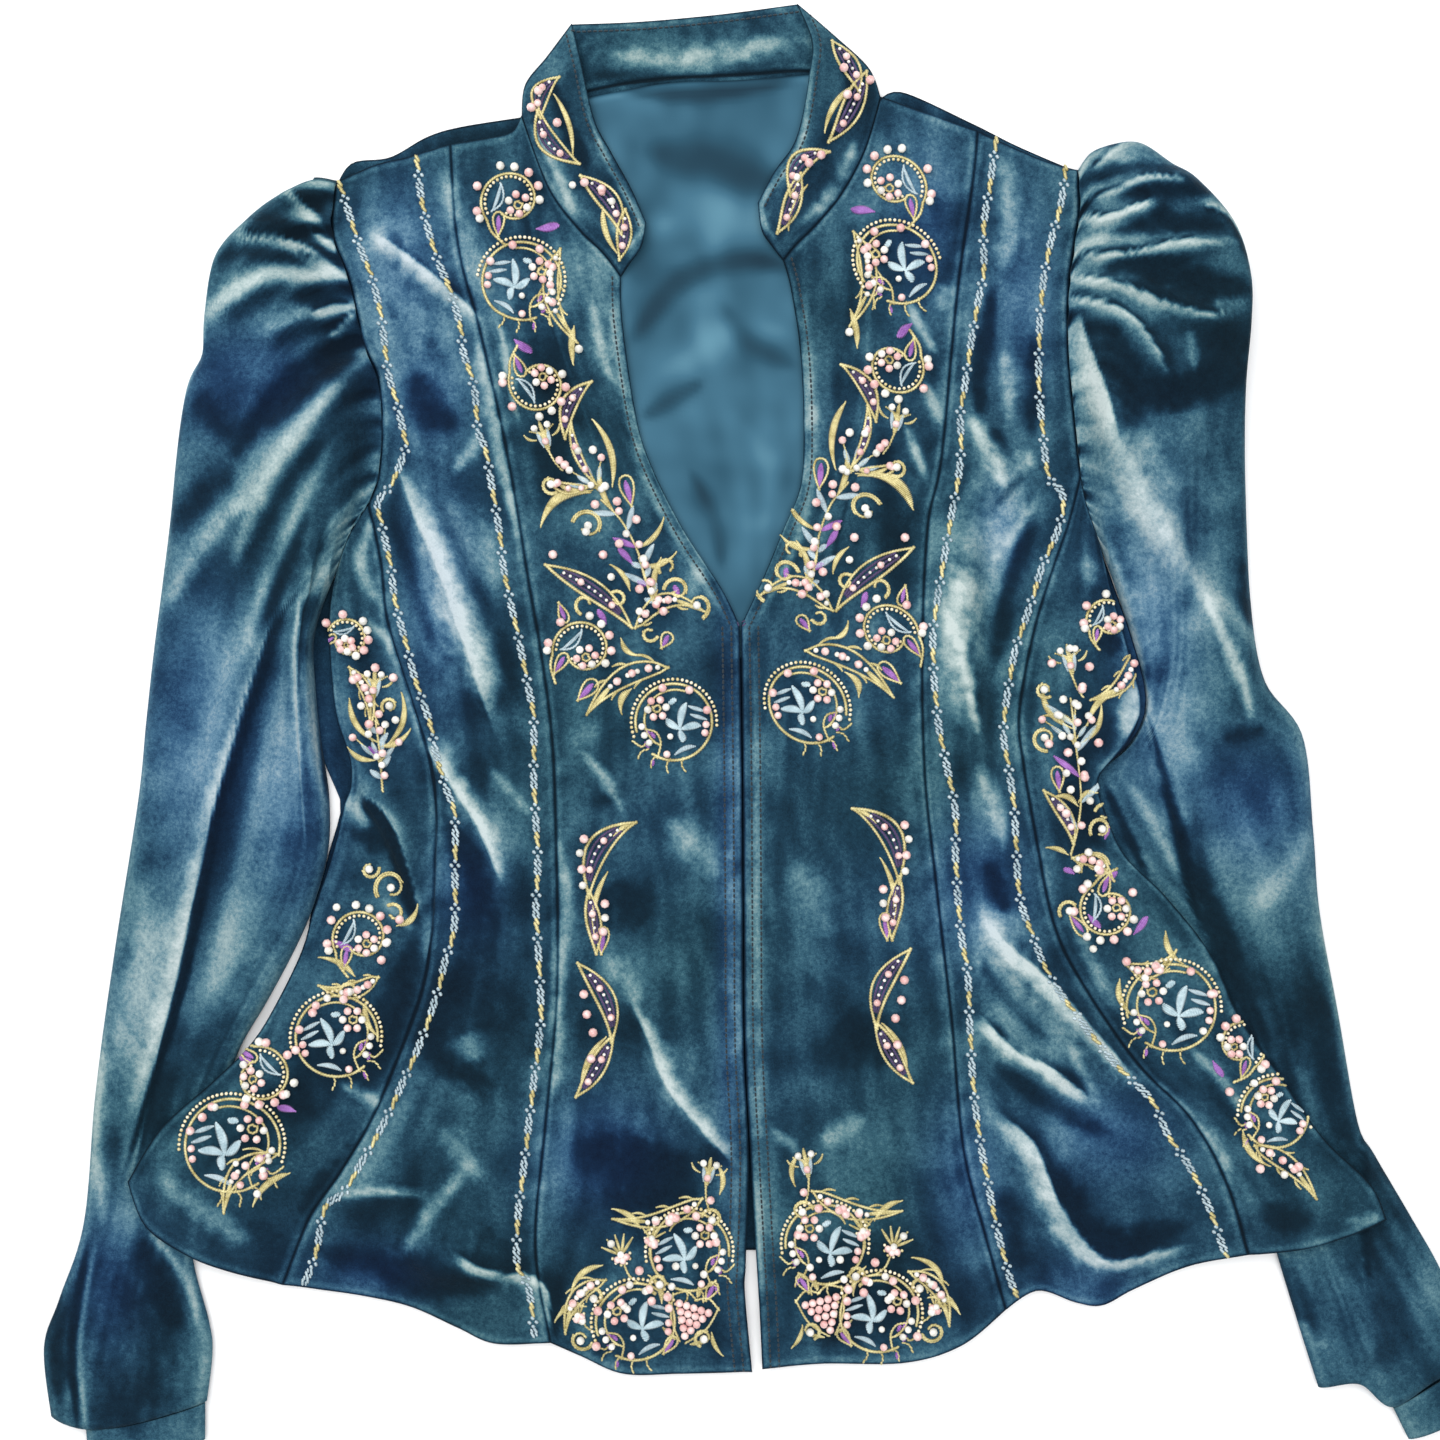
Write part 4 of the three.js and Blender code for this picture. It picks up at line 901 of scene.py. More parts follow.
# Stretches that look bluer: x, y and half sizes across and down, in photograph pixels
BLUE_STRETCHES = [
    (400, 240, 55, 110), (430, 400, 50, 60), (265, 385, 70, 50), (200, 720, 60, 180), (300, 800, 50, 130),
    (440, 600, 40, 110), (110, 1280, 40, 80), (925, 230, 40, 80), (1150, 660, 45, 140), (1000, 530, 24, 50),
    (1110, 1130, 70, 50), (1020, 300, 40, 110), (1240, 800, 60, 60), (470, 880, 40, 60), (980, 880, 50, 70),
    (960, 1180, 40, 90), (600, 1150, 60, 60), (730, 900, 14, 300), (1090, 1290, 60, 40), (380, 1270, 60, 30),
]

# All the pile marks and painted light and shade over each part
PILE_AND_LIGHT: dict[str, list[PileAndLightStroke]] = {
    name: [PaintedCrestLight(*row) for row in PAINTED_CREST_LIGHT.get(name, [])] + [PileAndLightStroke(*row) for row in rows]
    for name, rows in PILE_AND_LIGHT_STROKES.items()}


@dataclass(frozen=True)
class Panel:
    """The four edges of a flat panel, each as seam lines with their shares.

    Args:
        name: the piece's name.
        top, bottom, left, right: the edges.
        first: where it starts on the way from shoulder to hem, from 0 to 1.
        outer: the edge that comes down to the back, if any.
        cell: the size of the grid's cells, in millimetres.
    """

    name: str
    top: list[tuple[str, float]]
    bottom: list[tuple[str, float]]
    left: list[tuple[str, float]]
    right: list[tuple[str, float]]
    first: float = 0.0
    outer: str = ""
    cell: float = 2.8

    def grid(self) -> tuple[Array, Array, Array]:
        """Lays out the panel's points.

        Returns:
            The points in plan, and the shares across and down that they are at.
        """
        probe = np.linspace(0, 1, 40)
        wide, long = (max(walked(edge(side, probe))[-1] for side in sides)
                      for sides in ((self.top, self.bottom), (self.left, self.right)))
        u, v = shares_for(wide, self.cell), shares_for(long, self.cell)
        plan = patch(edge(self.top, u), edge(self.bottom, u), edge(self.left, v), edge(self.right, v), u, v)
        return plan, u, v


FRONTS = [
    Panel("front_centre_left", [("shoulder_left", 1 / 3), ("collar_seam_left", 2 / 3)],
          [("hem_centre_left", 1)], [("princess_left", 1)],
          [("neck_left", NECK_SHARE), ("edge_left", 1 - NECK_SHARE)]),
    Panel("front_centre_right", [("-collar_seam_right", 2 / 3), ("shoulder_right", 1 / 3)],
          [("hem_centre_right", 1)], [("neck_right", NECK_SHARE), ("edge_right", 1 - NECK_SHARE)],
          [("princess_right", 1)]),
    Panel("front_side_left", [("yoke_left", 1)], [("hem_side_left", 1)],
          [("armhole_left", ARMHOLE_SHARE), ("side_seam_left", 1 - ARMHOLE_SHARE)], [("princess_left", 1)]),
    Panel("front_side_right", [("yoke_right", 1)], [("hem_side_right", 1)], [("princess_right", 1)],
          [("armhole_right", ARMHOLE_SHARE), ("side_seam_right", 1 - ARMHOLE_SHARE)]),
    Panel("side_panel_left", [("-armpit_left", 1)], [("hem_panel_left", 1)],
          [("panel_side_left", 1)], [("side_seam_left", 1)], ARMHOLE_SHARE, "left"),
    Panel("side_panel_right", [("armpit_right", 1)], [("hem_panel_right", 1)],
          [("side_seam_right", 1)], [("panel_side_right", 1)], ARMHOLE_SHARE, "right"),
]
BACK = Panel(
    "back", [("back_shoulder_left", 1 / 3), ("back_neck", 1 / 3), ("back_shoulder_right", 1 / 3)],
    [("back_hem", 1)],
    [("armhole_left", 9 / 26), ("armpit_left", 3 / 26), ("back_side_left", 14 / 26)],
    [("armhole_right", 9 / 26), ("armpit_right", 3 / 26), ("back_side_right", 14 / 26)], cell=7.0)
NECK_LINING = Panel("back_lining", [("lining_neck", 1)], [("lining_hem", 1)],
                    [("lining_left", 1)], [("lining_right", 1)], cell=2.6)
COLLAR_BACK = Panel("collar_back", [("collar_back_rim", 1)], [("back_neck", 1)],
                    [("-collar_fold_left", 1)], [("-collar_fold_right", 1)], cell=2.2)
COLLARS = [
    Panel("collar_front_left", [("collar_fold_left", 1)], [("collar_end_left", 1)],
          [("collar_seam_left", 1)], [("rim_left", 1)], outer="left", cell=2.0),
    Panel("collar_front_right", [("-collar_fold_right", 1)], [("-collar_end_right", 1)],
          [("rim_right", 1)], [("collar_seam_right", 1)], outer="right", cell=2.0),
]


@dataclass
class Workroom:
    """What every sub-assembly is made with: its cloths, the heights they lie at and how they are cut.

    Args:
        shells: the pieces made so far, by name.
        velvet, satin: the thickness of the cloths, in millimetres, as all sizes here.
        rest_lining, rest_front: the heights at which the lining and the fronts lie.
        air: between the fronts and what lies under them.
        peplum_lift: how far the body is lifted where a sleeve lies under it.
        peplum_ramp: the distance over which it comes down again.
        rolled: how far a cut edge rolls over.
    """

    shells: dict[str, Shell]
    velvet: float = 1.5
    satin: float = 1.0
    rest_lining: float = 1.8
    rest_front: float = 3.1
    air: float = 2.3
    peplum_lift: float = 8.1
    peplum_ramp: float = 60.0
    rolled: float = 0.55

    def keep(self, name: str, upper: Array, lower: Array, nap: Array, ring: bool = False) -> None:
        """Builds a shell and keeps it under its name."""
        self.shells[name] = Shell(name, upper, lower, nap, blueness(upper[..., :2]), ring)
        self.shells[name].build()

    def lift(self, plan: Array) -> Array:
        """How far the body is lifted over points in plan."""
        return self.peplum_lift * (1 - smooth((over_sleeve(plan) - 3) / self.peplum_ramp))

    def flat(self, name: str, grid: tuple[Array, Array, Array], under: Array, pile_and_light_strokes: list[PileAndLightStroke],
             seed: int, base: float = 0.3, satin: bool = False) -> None:
        """Makes a flat piece, whose edges roll over a little, with painted shade in the seams and a painted
        highlight where they roll.

        Args:
            name: the piece's name.
            grid: its plan, with the shares across and down.
            under: the height of its underside.
            pile_and_light_strokes: its strokes of pile marks, painted highlights and painted shade.
            seed: of the uneven patches.
            base: how pale it is elsewhere.
            satin: True if it is cut from the lining's cloth.
        """
        plan, u, v = grid
        wide, long = size_across(plan)
        rim = np.minimum(np.minimum(u, 1 - u)[None, :] * wide[:, None],
                         np.minimum(v, 1 - v)[:, None] * long[None, :])
        nap = pile_with_painted_light(np.dstack([plan, under]), u, v, pile_and_light_strokes, seed, base, 0.0 if satin else 0.8)
        # Painted shade in the last 1.3 mm at the seams and edges, and a painted highlight about 2.4 mm in.
        nap += 0.12 * np.exp(-((rim - 2.4) / 1.3) ** 2) - 0.3 * (1 - smooth(rim / 1.3))
        over = under + (self.satin if satin else self.velvet) - self.rolled * (1 - smooth(rim / 1.7))
        self.keep(name, np.dstack([plan, over]), np.dstack([plan, under]), nap)


@dataclass
class Body(Workroom):
    """The fronts with their side panels, the back and the lining.

    Args:
        pucker: how high the cloth puckers along a seam.
        soft: how high the uneven lumps of the front are.
    """

    pucker: float = 0.35
    soft: float = 0.5

    def make(self) -> None:
        """Makes all the body's pieces."""
        for panel in FRONTS:
            self.front(panel)
        grid = BACK.grid()
        # The back shows only in gaps and at the shoulders, under the other pieces; its low base tone is
        # painted shade.
        self.flat("back", grid, self.lift(grid[0]), [], 51, 0.16)
        grid = NECK_LINING.grid()
        under = np.full(grid[0].shape[:2], self.rest_lining)
        self.flat("back_lining", grid, under, PILE_AND_LIGHT["lining"], 61, 0.5, satin=True)

    def underside(self, plan: Array, down: Array) -> Array:
        """The height of the front's underside.

        Args:
            plan: the points, in rows.
            down: where they are on the way from shoulder to hem, from 0 to 1.

        Returns:
            One height for each point.
        """
        free = fading(down, 0.07, 0.05)
        fold = np.maximum(-self.air, raised(plan, FOLDS["front"]))
        kept = np.where(fold > 0, mix(0.35, 1.0, free), free)
        return self.rest_front + self.lift(plan) + free * self.air + fold * kept

    def front(self, panel: Panel) -> None:
        """Makes a panel of the front, whose outer edge comes down to the back.

        Args:
            panel: its edges.
        """
        plan, u, v = grid = panel.grid()
        down = (panel.first + v * (1 - panel.first))[:, None] * np.ones_like(u)[None, :]
        from_edge = {"left": u, "right": 1 - u}.get(panel.outer, np.ones_like(u))[None, :]
        under = mix(self.rest_front + self.lift(plan), self.underside(plan, down), smooth(from_edge / 0.35))
        under += raised(plan, PLEATS["front"]) * smooth((1 - down) / 0.05)
        seam = np.exp(-((np.minimum(u, 1 - u)[None, :] - 0.02) / 0.07) ** 2)
        under += self.pucker * ripple(plan, 9.0, 5) * seam
        under += self.soft * ripple(plan, 34.0, 11) * fading(down, 0.1, 0.06)
        side = panel.name.startswith("side")
        self.flat(panel.name, grid, under, PILE_AND_LIGHT["front"] + PILE_AND_LIGHT["side"] * side, 31, 0.27 if side else 0.31)


@dataclass
class Collar(Workroom):
    """The stand collar: its back with the inner face up, and its two ends folded over.

    Args:
        rise: how high the ends stand over what they lie on.
    """

    rise: float = 4.0

    def make(self) -> None:
        """Makes all the collar's pieces."""
        grid = COLLAR_BACK.grid()
        self.flat("collar_back", grid, np.zeros(grid[0].shape[:2]), PILE_AND_LIGHT["collar"], 71)
        for panel in COLLARS:
            plan, u, v = grid = panel.grid()
            across = (u if panel.outer == "left" else 1 - u)[None, :]
            down = v[:, None]
            arch = np.sin(math.pi * np.minimum(1, across * 0.75)) * smooth(down / 0.2)
            under = mix(self.rest_lining, self.rest_front, smooth(down / 0.15)) + self.rise * arch
            self.flat(panel.name, grid, under, PILE_AND_LIGHT["collar"], 81)


@dataclass
class Sleeve(Workroom):
    """A sleeve with a gathered head and its cuff, both flattened tubes that lie on the floor.

    Args:
        side: left or right in the photograph.
        wall: the thickness of a tube's wall.
        puff: the height of the gathered head.
        height: of the sleeve below it.
        cuff_height: of the cuff.
        under_peplum: of the sleeve where the peplum lies on it.
        seam_stand: how far the head stands over the front at the armhole.
        edge_radius, edge_height: of a tube's rounded edges.
    """

    side: str = "left"
    wall: float = 1.3
    puff: float = 27.0
    height: float = 12.5
    cuff_height: float = 7.2
    under_peplum: float = 7.2
    seam_stand: float = 0.8
    edge_radius: float = 12.0
    edge_height: float = 2.9

    # How far down the back fold and the front fold each ring of the solid sleeve lies
    BACK_RINGS = (0, 0.018, 0.042, 0.072, 0.11, 0.155, 0.21, 0.27, 0.34, 0.41, 0.48, 0.55, 0.62, 0.69,
                  0.76, 0.83, 0.89, 0.945, 1)
    FRONT_RINGS = {
        "left": (0, 0.006, 0.014, 0.026, 0.042, 0.065, 0.095, 0.13, 0.18, 0.245, 0.32, 0.405, 0.49, 0.58,
                 0.67, 0.76, 0.84, 0.92, 1),
        "right": (0, 0.01, 0.022, 0.036, 0.055, 0.08, 0.11, 0.145, 0.179, 0.229, 0.288, 0.337, 0.44, 0.54,
                  0.64, 0.74, 0.83, 0.915, 1),
    }

    def make(self) -> None:
        """Makes the sleeve and its cuff."""
        u = shares_for(150.0, 1.65)
        rings = np.linspace(0, 1, len(self.BACK_RINGS))
        steps = np.interp(np.linspace(0, 1, 185), [0, 0.36, 1], [0, 7 / 18, 1])
        s = np.interp(steps, rings, self.BACK_RINGS)
        front = np.interp(steps, rings, self.FRONT_RINGS[self.side])
        armhole = edge([(f"armhole_{self.side}", 0.75), (f"armpit_{self.side}", 0.25)], u)
        wrist = edge([(f"wrist_{self.side}", 1)], u)
        plan = patch(armhole, wrist, spline_at(LINE[f"sleeve_back_{self.side}"], s),
                     spline_at(LINE[f"sleeve_front_{self.side}"], front), u, s)
        down = s[:, None]
        gathers = ripple(np.dstack(np.broadcast_arrays(u[None, :] * 330, down * 60)), 7.0, 9)
        gathers = gathers * np.exp(-down / 0.035)
        height = self.top(plan, u[None, :], down) + raised(plan, PLEATS[self.side])
        height += 0.9 * gathers * smooth(down / 0.006)
        height += 0.6 * ripple(plan, 40.0, 21) * smooth(down / 0.1) * smooth(over_sleeve(plan) / 15)
        # The gathers' heights also paint light: pale on their ridges, dark between them.
        self.tube(f"sleeve_{self.side}", (plan, u, s), height, 91, 0.3 * gathers)
        u, t = shares_for(68.0, 2.2), np.linspace(0, 1, 14)
        first, last = (spline_at(LINE[f"cuff_{end}_{self.side}"], u)[None] for end in ("top", "end"))
        plan = mix(first, last, t[:, None, None])
        self.tube(f"cuff_{self.side}", (plan, u, t), np.full(plan.shape[:2], self.cuff_height), 95)

    def top(self, plan: Array, u: Array, s: Array) -> Array:
        """The height of the sleeve's upper side.

        Args:
            plan: the points, in rows.
            u: the shares across it from the back fold.
            s: the shares down it from the armhole.

        Returns:
            One height for each point.
        """
        puff = smooth(s / 0.075) * (1 - smooth((s - 0.1) / 0.26)) * smooth((0.98 - u) / 0.55)
        arch = mix(self.height, self.cuff_height, smooth((s - 0.45) / 0.5))
        at_seam = self.rest_front + self.velvet + self.seam_stand + self.air * fading(u, 0.2, 0.2)
        free = mix(at_seam, arch + (self.puff - arch) * puff, smooth(s / 0.05))
        free = free + raised(plan, FOLDS[self.side])
        return mix(self.under_peplum, free, smooth((over_sleeve(plan) - 1) / 20))

    def tube(self, name: str, grid: tuple[Array, Array, Array], height: Array, seed: int,
             painted_gather_light: Array | float = 0.0) -> None:
        """Makes a tube: each ring runs over the upper side and returns below, flat on the floor.

        Args:
            name: the piece's name.
            grid: its plan, with the shares across and down.
            height: of its upper side.
            seed: of the uneven patches.
            painted_gather_light: painted light and shade added to the pile's tone.
        """
        plan, u, v = grid
        to_edge = size_across(plan)[0][:, None] * np.minimum(u, 1 - u)[None, :]
        roundness = np.sqrt(1 - (1 - np.minimum(1, to_edge / self.edge_radius)) ** 2)
        over = np.dstack([plan, mix(self.edge_height, height, roundness)])
        below = np.dstack([plan, self.edge_height * (1 - roundness)])[:, -2:0:-1][:, ::2]
        outer = np.concatenate([over, below], axis=1)
        around = np.roll(outer, -1, axis=1) - np.roll(outer, 1, axis=1)
        normal = np.cross(around, np.gradient(outer, axis=0))
        normal /= np.linalg.norm(normal, axis=2, keepdims=True) + 1e-9
        columns = over.shape[1]
        normal *= np.sign(normal[:, columns // 2, None, 2:3])
        up = np.where(np.arange(outer.shape[1]) < columns, 1.0, -1.0)
        normal = np.where((normal[..., 2] * up < -0.3)[..., None], -normal, normal)
        nap = np.full(outer.shape[:2], 0.25)
        pile_and_light_strokes = PILE_AND_LIGHT[f"sleeve_{self.side}"]
        nap[:, :columns] = pile_with_painted_light(np.dstack([plan, height]), u, v, pile_and_light_strokes, seed, 0.38, 0.65)
        # Painted light: the gathers' light and shade, and a painted highlight about 3 mm in from each folded
        # edge.
        nap[:, :columns] += painted_gather_light + 0.12 * np.exp(-((to_edge - 3.0) / 2.6) ** 2)
        self.keep(name, outer, outer - self.wall * normal, nap, ring=True)


# What each piece lies on
ON_FLOOR = ("back", "collar_back", "sleeve_left", "sleeve_right", "cuff_left", "cuff_right")
RESTS_ON = dict.fromkeys(ON_FLOOR, ["floor"])
RESTS_ON |= dict.fromkeys(("back_lining", *[panel.name for panel in FRONTS]), ["back"])
RESTS_ON |= dict.fromkeys([panel.name for panel in COLLARS], ["back_lining"])


def colour(code: str) -> tuple[float, ...]:
    """A screen colour such as "#35586a" as linear light."""
    parts = [int(code[i:i + 2], 16) / 255 for i in (1, 3, 5)]
    return tuple([p / 12.92 if p <= 0.04045 else ((p + 0.055) / 1.055) ** 2.4 for p in parts] + [1.0])


class Nodes:
    """Adds and links the nodes of one tree.

    Args:
        tree: the node tree.
    """

    def __init__(self, tree: bpy.types.NodeTree) -> None:
        self.tree = tree
        self.identifiers: dict[str, str] = {}

    def add(self, kind: str, **settings: object) -> bpy.types.Node:
        """Adds a node.

        Args:
            kind: the node's type.
            settings: its properties, and the values or sources of its sockets, with _ for a space.

        Returns:
            The node.
        """
        node = self.tree.nodes.new(kind)
        for key, value in settings.items():
            if key in node.bl_rna.properties:
                setattr(node, key, value)
            else:
                self.give(node.inputs[key.replace("_", " ")], value)
        return node

    def give(self, socket: Socket, value: object) -> None:
        """Links a socket to its source, or sets its value.

        Args:
            socket: what is given.
            value: the source's socket, or a value.
        """
        if isinstance(value, Socket):
            self.tree.links.new(value, socket)
        else:
            socket.default_value = value

    def maths(self, operation: str, a: Socket | float, b: Socket | float) -> Socket:
        """One step of arithmetic.

        Args:
            operation: what is done.
            a, b: the sockets or numbers that it is done with.

        Returns:
            The result's socket.
        """
        node = self.add("ShaderNodeMath", operation=operation)
        self.give(node.inputs[0], a)
        self.give(node.inputs[1], b)
        return node.outputs[0]

    def sockets(self, inputs: dict[str, str], outputs: dict[str, str]) -> list[bpy.types.Node]:
        """Gives a node group its named sockets, and keeps their identifiers.

        Args:
            inputs, outputs: the type of each socket by name.

        Returns:
            The group's input node and its output node.
        """
        for way, named in (("INPUT", inputs), ("OUTPUT", outputs)):
            for name, kind in named.items():
                socket = self.tree.interface.new_socket(name, in_out=way, socket_type="NodeSocket" + kind)
                self.identifiers[name] = socket.identifier
        return [self.add("NodeGroupInput"), self.add("NodeGroupOutput")]


class Effects:
    """The shader node groups that the materials share, each built once."""

    def __init__(self) -> None:
        self.uneven = self._uneven()
        self.relief = self._relief()

    def _uneven(self) -> bpy.types.NodeTree:
        """Makes the group of noise over the piece, round a middle value.

        Returns:
            The group.
        """
        nodes = Nodes(bpy.data.node_groups.new("unevenness", "ShaderNodeTree"))
        sizes = ("Scale", "Detail", "Roughness", "Middle", "Amount")
        given, result = nodes.sockets(dict.fromkeys(sizes, "Float"), {"Value": "Float"})
        place = nodes.add("ShaderNodeTexCoord").outputs["Object"]
        noise = nodes.add("ShaderNodeTexNoise", Vector=place, Scale=given.outputs["Scale"],
                          Detail=given.outputs["Detail"], Roughness=given.outputs["Roughness"])
        centred = nodes.maths("SUBTRACT", noise.outputs["Fac"], 0.5)
        swing = nodes.maths("MULTIPLY", centred, given.outputs["Amount"])
        nodes.give(result.inputs["Value"], nodes.maths("ADD", swing, given.outputs["Middle"]))
        return nodes.tree

    def _relief(self) -> bpy.types.NodeTree:
        """Makes the group of a fine relief from a height, its depth in metres.

        Returns:
            The group.
        """
        nodes = Nodes(bpy.data.node_groups.new("relief", "ShaderNodeTree"))
        given, result = nodes.sockets({"Height": "Float", "Depth": "Float"}, {"Normal": "Vector"})
        bump = nodes.add("ShaderNodeBump", Strength=1.0, Distance=given.outputs["Depth"],
                         Height=given.outputs["Height"])
        nodes.give(result.inputs["Normal"], bump.outputs[0])
        return nodes.tree


class Surface(Nodes):
    """A new material with a Principled shader.

    Args:
        name: the material's name.
        effects: the node groups that it shares with others.
        values: what is the same all over it, by the shader's socket, with _ for a space.
    """

    def __init__(self, name: str, effects: Effects, **values: object) -> None:
        self.material = bpy.data.materials.new(name)
        self.material.use_nodes = True
        super().__init__(self.material.node_tree)
        self.tree.nodes.clear()
        self.effects = effects
        self.shader = self.add("ShaderNodeBsdfPrincipled", **values)
        self.add("ShaderNodeOutputMaterial", Surface=self.shader.outputs[0])

    def uneven(self, scale: float, amount: float = 1.0, detail: float = 3.0, roughness: float = 0.55,
               middle: float = 0.0) -> Socket:
        """Noise over the piece.

        Args:
            scale: in waves per metre.
            amount: how far it swings.
            detail, roughness: of the noise.
            middle: the value it swings round.

        Returns:
            Its socket.
        """
        return self.add("ShaderNodeGroup", node_tree=self.effects.uneven, Scale=scale, Detail=detail,
                        Roughness=roughness, Middle=middle, Amount=amount).outputs[0]

    def raise_by(self, height: Socket, depth: float) -> None:
        """Gives the surface a fine relief, its depth in metres."""
        relief = self.add("ShaderNodeGroup", node_tree=self.effects.relief, Height=height, Depth=depth)
        self.give(self.shader.inputs["Normal"], relief.outputs[0])

    def ramp(self, value: Socket, stops: tuple[tuple[float, str], ...]) -> Socket:
        """Colours along a value.

        Args:
            value: what is looked up.
            stops: the place and colour of each stop.

        Returns:
            The colour's socket.
        """
        node = self.add("ShaderNodeValToRGB", Fac=value)
        elements = node.color_ramp.elements
        while len(elements) < len(stops):
            elements.new(0.5)
        for element, (place, code) in zip(elements, stops):
            element.position = place
            element.color = colour(code)
        return node.outputs["Color"]

    def paint(self, source: Socket) -> bpy.types.Material:
        """Takes the base colour from a socket, and hands over the material."""
        self.give(self.shader.inputs["Base Color"], source)
        return self.material

    def attribute(self, name: str) -> Socket:
        """One of the cloth's attributes."""
        return self.add("ShaderNodeAttribute", attribute_name=name).outputs["Fac"]


@dataclass(frozen=True)
class Velvet:
    """Crushed velvet, teal or blue, whose colour runs from dark to pale with the pile's own marks and with
    painted light.

    Args:
        stops: the value of pile tone and painted light at which each colour shows.
        teal: its colours from painted shade through its own tones to painted sheen.
        blue: the same where it looks bluer.
    """

    stops: tuple[float, ...] = (0.0, 0.125, 0.235, 0.345, 0.47, 0.63, 0.8, 1.0)
    teal: tuple[str, ...] = ("#06161e", "#0d2530", "#193846", "#315764", "#567a80", "#849a99", "#9eb0ad",
                             "#b8c4c0")
    blue: tuple[str, ...] = ("#061428", "#0d233d", "#1a3756", "#325775", "#567a91", "#839ba8", "#9eafb7",
                             "#b8c4ca")

    def make(self, effects: Effects) -> bpy.types.Material:
        """Builds the material.

        Args:
            effects: the node groups that it shares with others.

        Returns:
            The material.
        """
        cloth = Surface("velvet", effects, Roughness=0.85, Specular_IOR_Level=0.08, Sheen_Weight=0.1,
                        Sheen_Roughness=0.4, Sheen_Tint=colour("#a9c6cc"))
        ragged = cloth.uneven(420.0, 1.15, 7.0, 0.72, 1.015)
        # The attribute carries painted shade and painted sheen besides the pile's own marks.
        value = cloth.maths("MULTIPLY", cloth.attribute("nap"), ragged)
        for patches in (cloth.uneven(60.0, 0.14, 4.0), cloth.uneven(260.0, 0.16, 5.0, 0.6),
                        cloth.uneven(1700.0, 0.26, 2.0)):
            value = cloth.maths("ADD", value, patches)
        value = cloth.maths("MULTIPLY", value, 0.785)
        both = cloth.add("ShaderNodeMix", data_type="RGBA")
        shades = [tuple(zip(self.stops, codes)) for codes in (self.teal, self.blue)]
        for socket, source in ((0, cloth.attribute("blue")), (6, cloth.ramp(value, shades[0])),
                               (7, cloth.ramp(value, shades[1]))):
            cloth.give(both.inputs[socket], source)
        cloth.raise_by(cloth.maths("ADD", cloth.uneven(2600.0), cloth.uneven(420.0, 2.0)), 0.0003)
        return cloth.paint(both.outputs[2])


@dataclass(frozen=True)
class Satin:
    """The smooth lining that shows in the neck, with painted shade in its creases and painted highlights
    beside them.

    Args:
        shades: its colours from painted shade through its own colour to painted highlight, and the value at
            which each shows.
    """

    shades: tuple[tuple[float, str], ...] = ((0.0, "#0d2a39"), (0.35, "#22495c"), (0.6, "#386378"),
                                             (0.9, "#5a8799"))

    def make(self, effects: Effects) -> bpy.types.Material:
        """Builds the material.

        Args:
            effects: the node groups that it shares with others.

        Returns:
            The material.
        """
        cloth = Surface("lining", effects, Roughness=0.62, Specular_IOR_Level=0.12)
        cloth.raise_by(cloth.uneven(2400.0, detail=1.0), 0.00003)
        value = cloth.maths("ADD", cloth.attribute("nap"), cloth.uneven(16.0, 0.5, 2.0))
        return cloth.paint(cloth.ramp(value, self.shades))


@dataclass(frozen=True)
class Thread:
    """Embroidery floss.

    Args:
        dark, pale: the two ends of its colour.
        metal: how metallic it is, from 0 to 1.
        roughness: of its surface.
    """

    dark: str
    pale: str
    metal: float = 0.0
    roughness: float = 0.5

    def make(self, name: str, effects: Effects) -> bpy.types.Material:
        """Builds the material.

        Args:
            name: the material's name.
            effects: the node groups that it shares with others.

        Returns:
            The material.
        """
        floss = Surface(name, effects, Metallic=self.metal, Roughness=self.roughness, Sheen_Weight=0.15)
        value = floss.maths("ADD", floss.uneven(140.0, 0.6, middle=0.5), floss.uneven(1500.0, 0.4, 1.0))
        return floss.paint(floss.ramp(value, ((0.32, self.dark), (0.66, self.pale))))


@dataclass(frozen=True)
class Bead:
    """Glass and pearl beads.

    Args:
        dark, pale: the two ends of their colour.
        roughness: of their surface.
        coat: how much gloss lies over it.
    """

    dark: str
    pale: str
    roughness: float = 0.22
    coat: float = 0.5

    def make(self, name: str, effects: Effects) -> bpy.types.Material:
        """Builds the material.

        Args:
            name: the material's name.
            effects: the node groups that it shares with others.

        Returns:
            The material.
        """
        glass = Surface(name, effects, Roughness=self.roughness, Coat_Weight=self.coat, Coat_Roughness=0.12)
        value = glass.uneven(230.0, detail=1.0, middle=0.5)
        return glass.paint(glass.ramp(value, ((0.35, self.dark), (0.65, self.pale))))


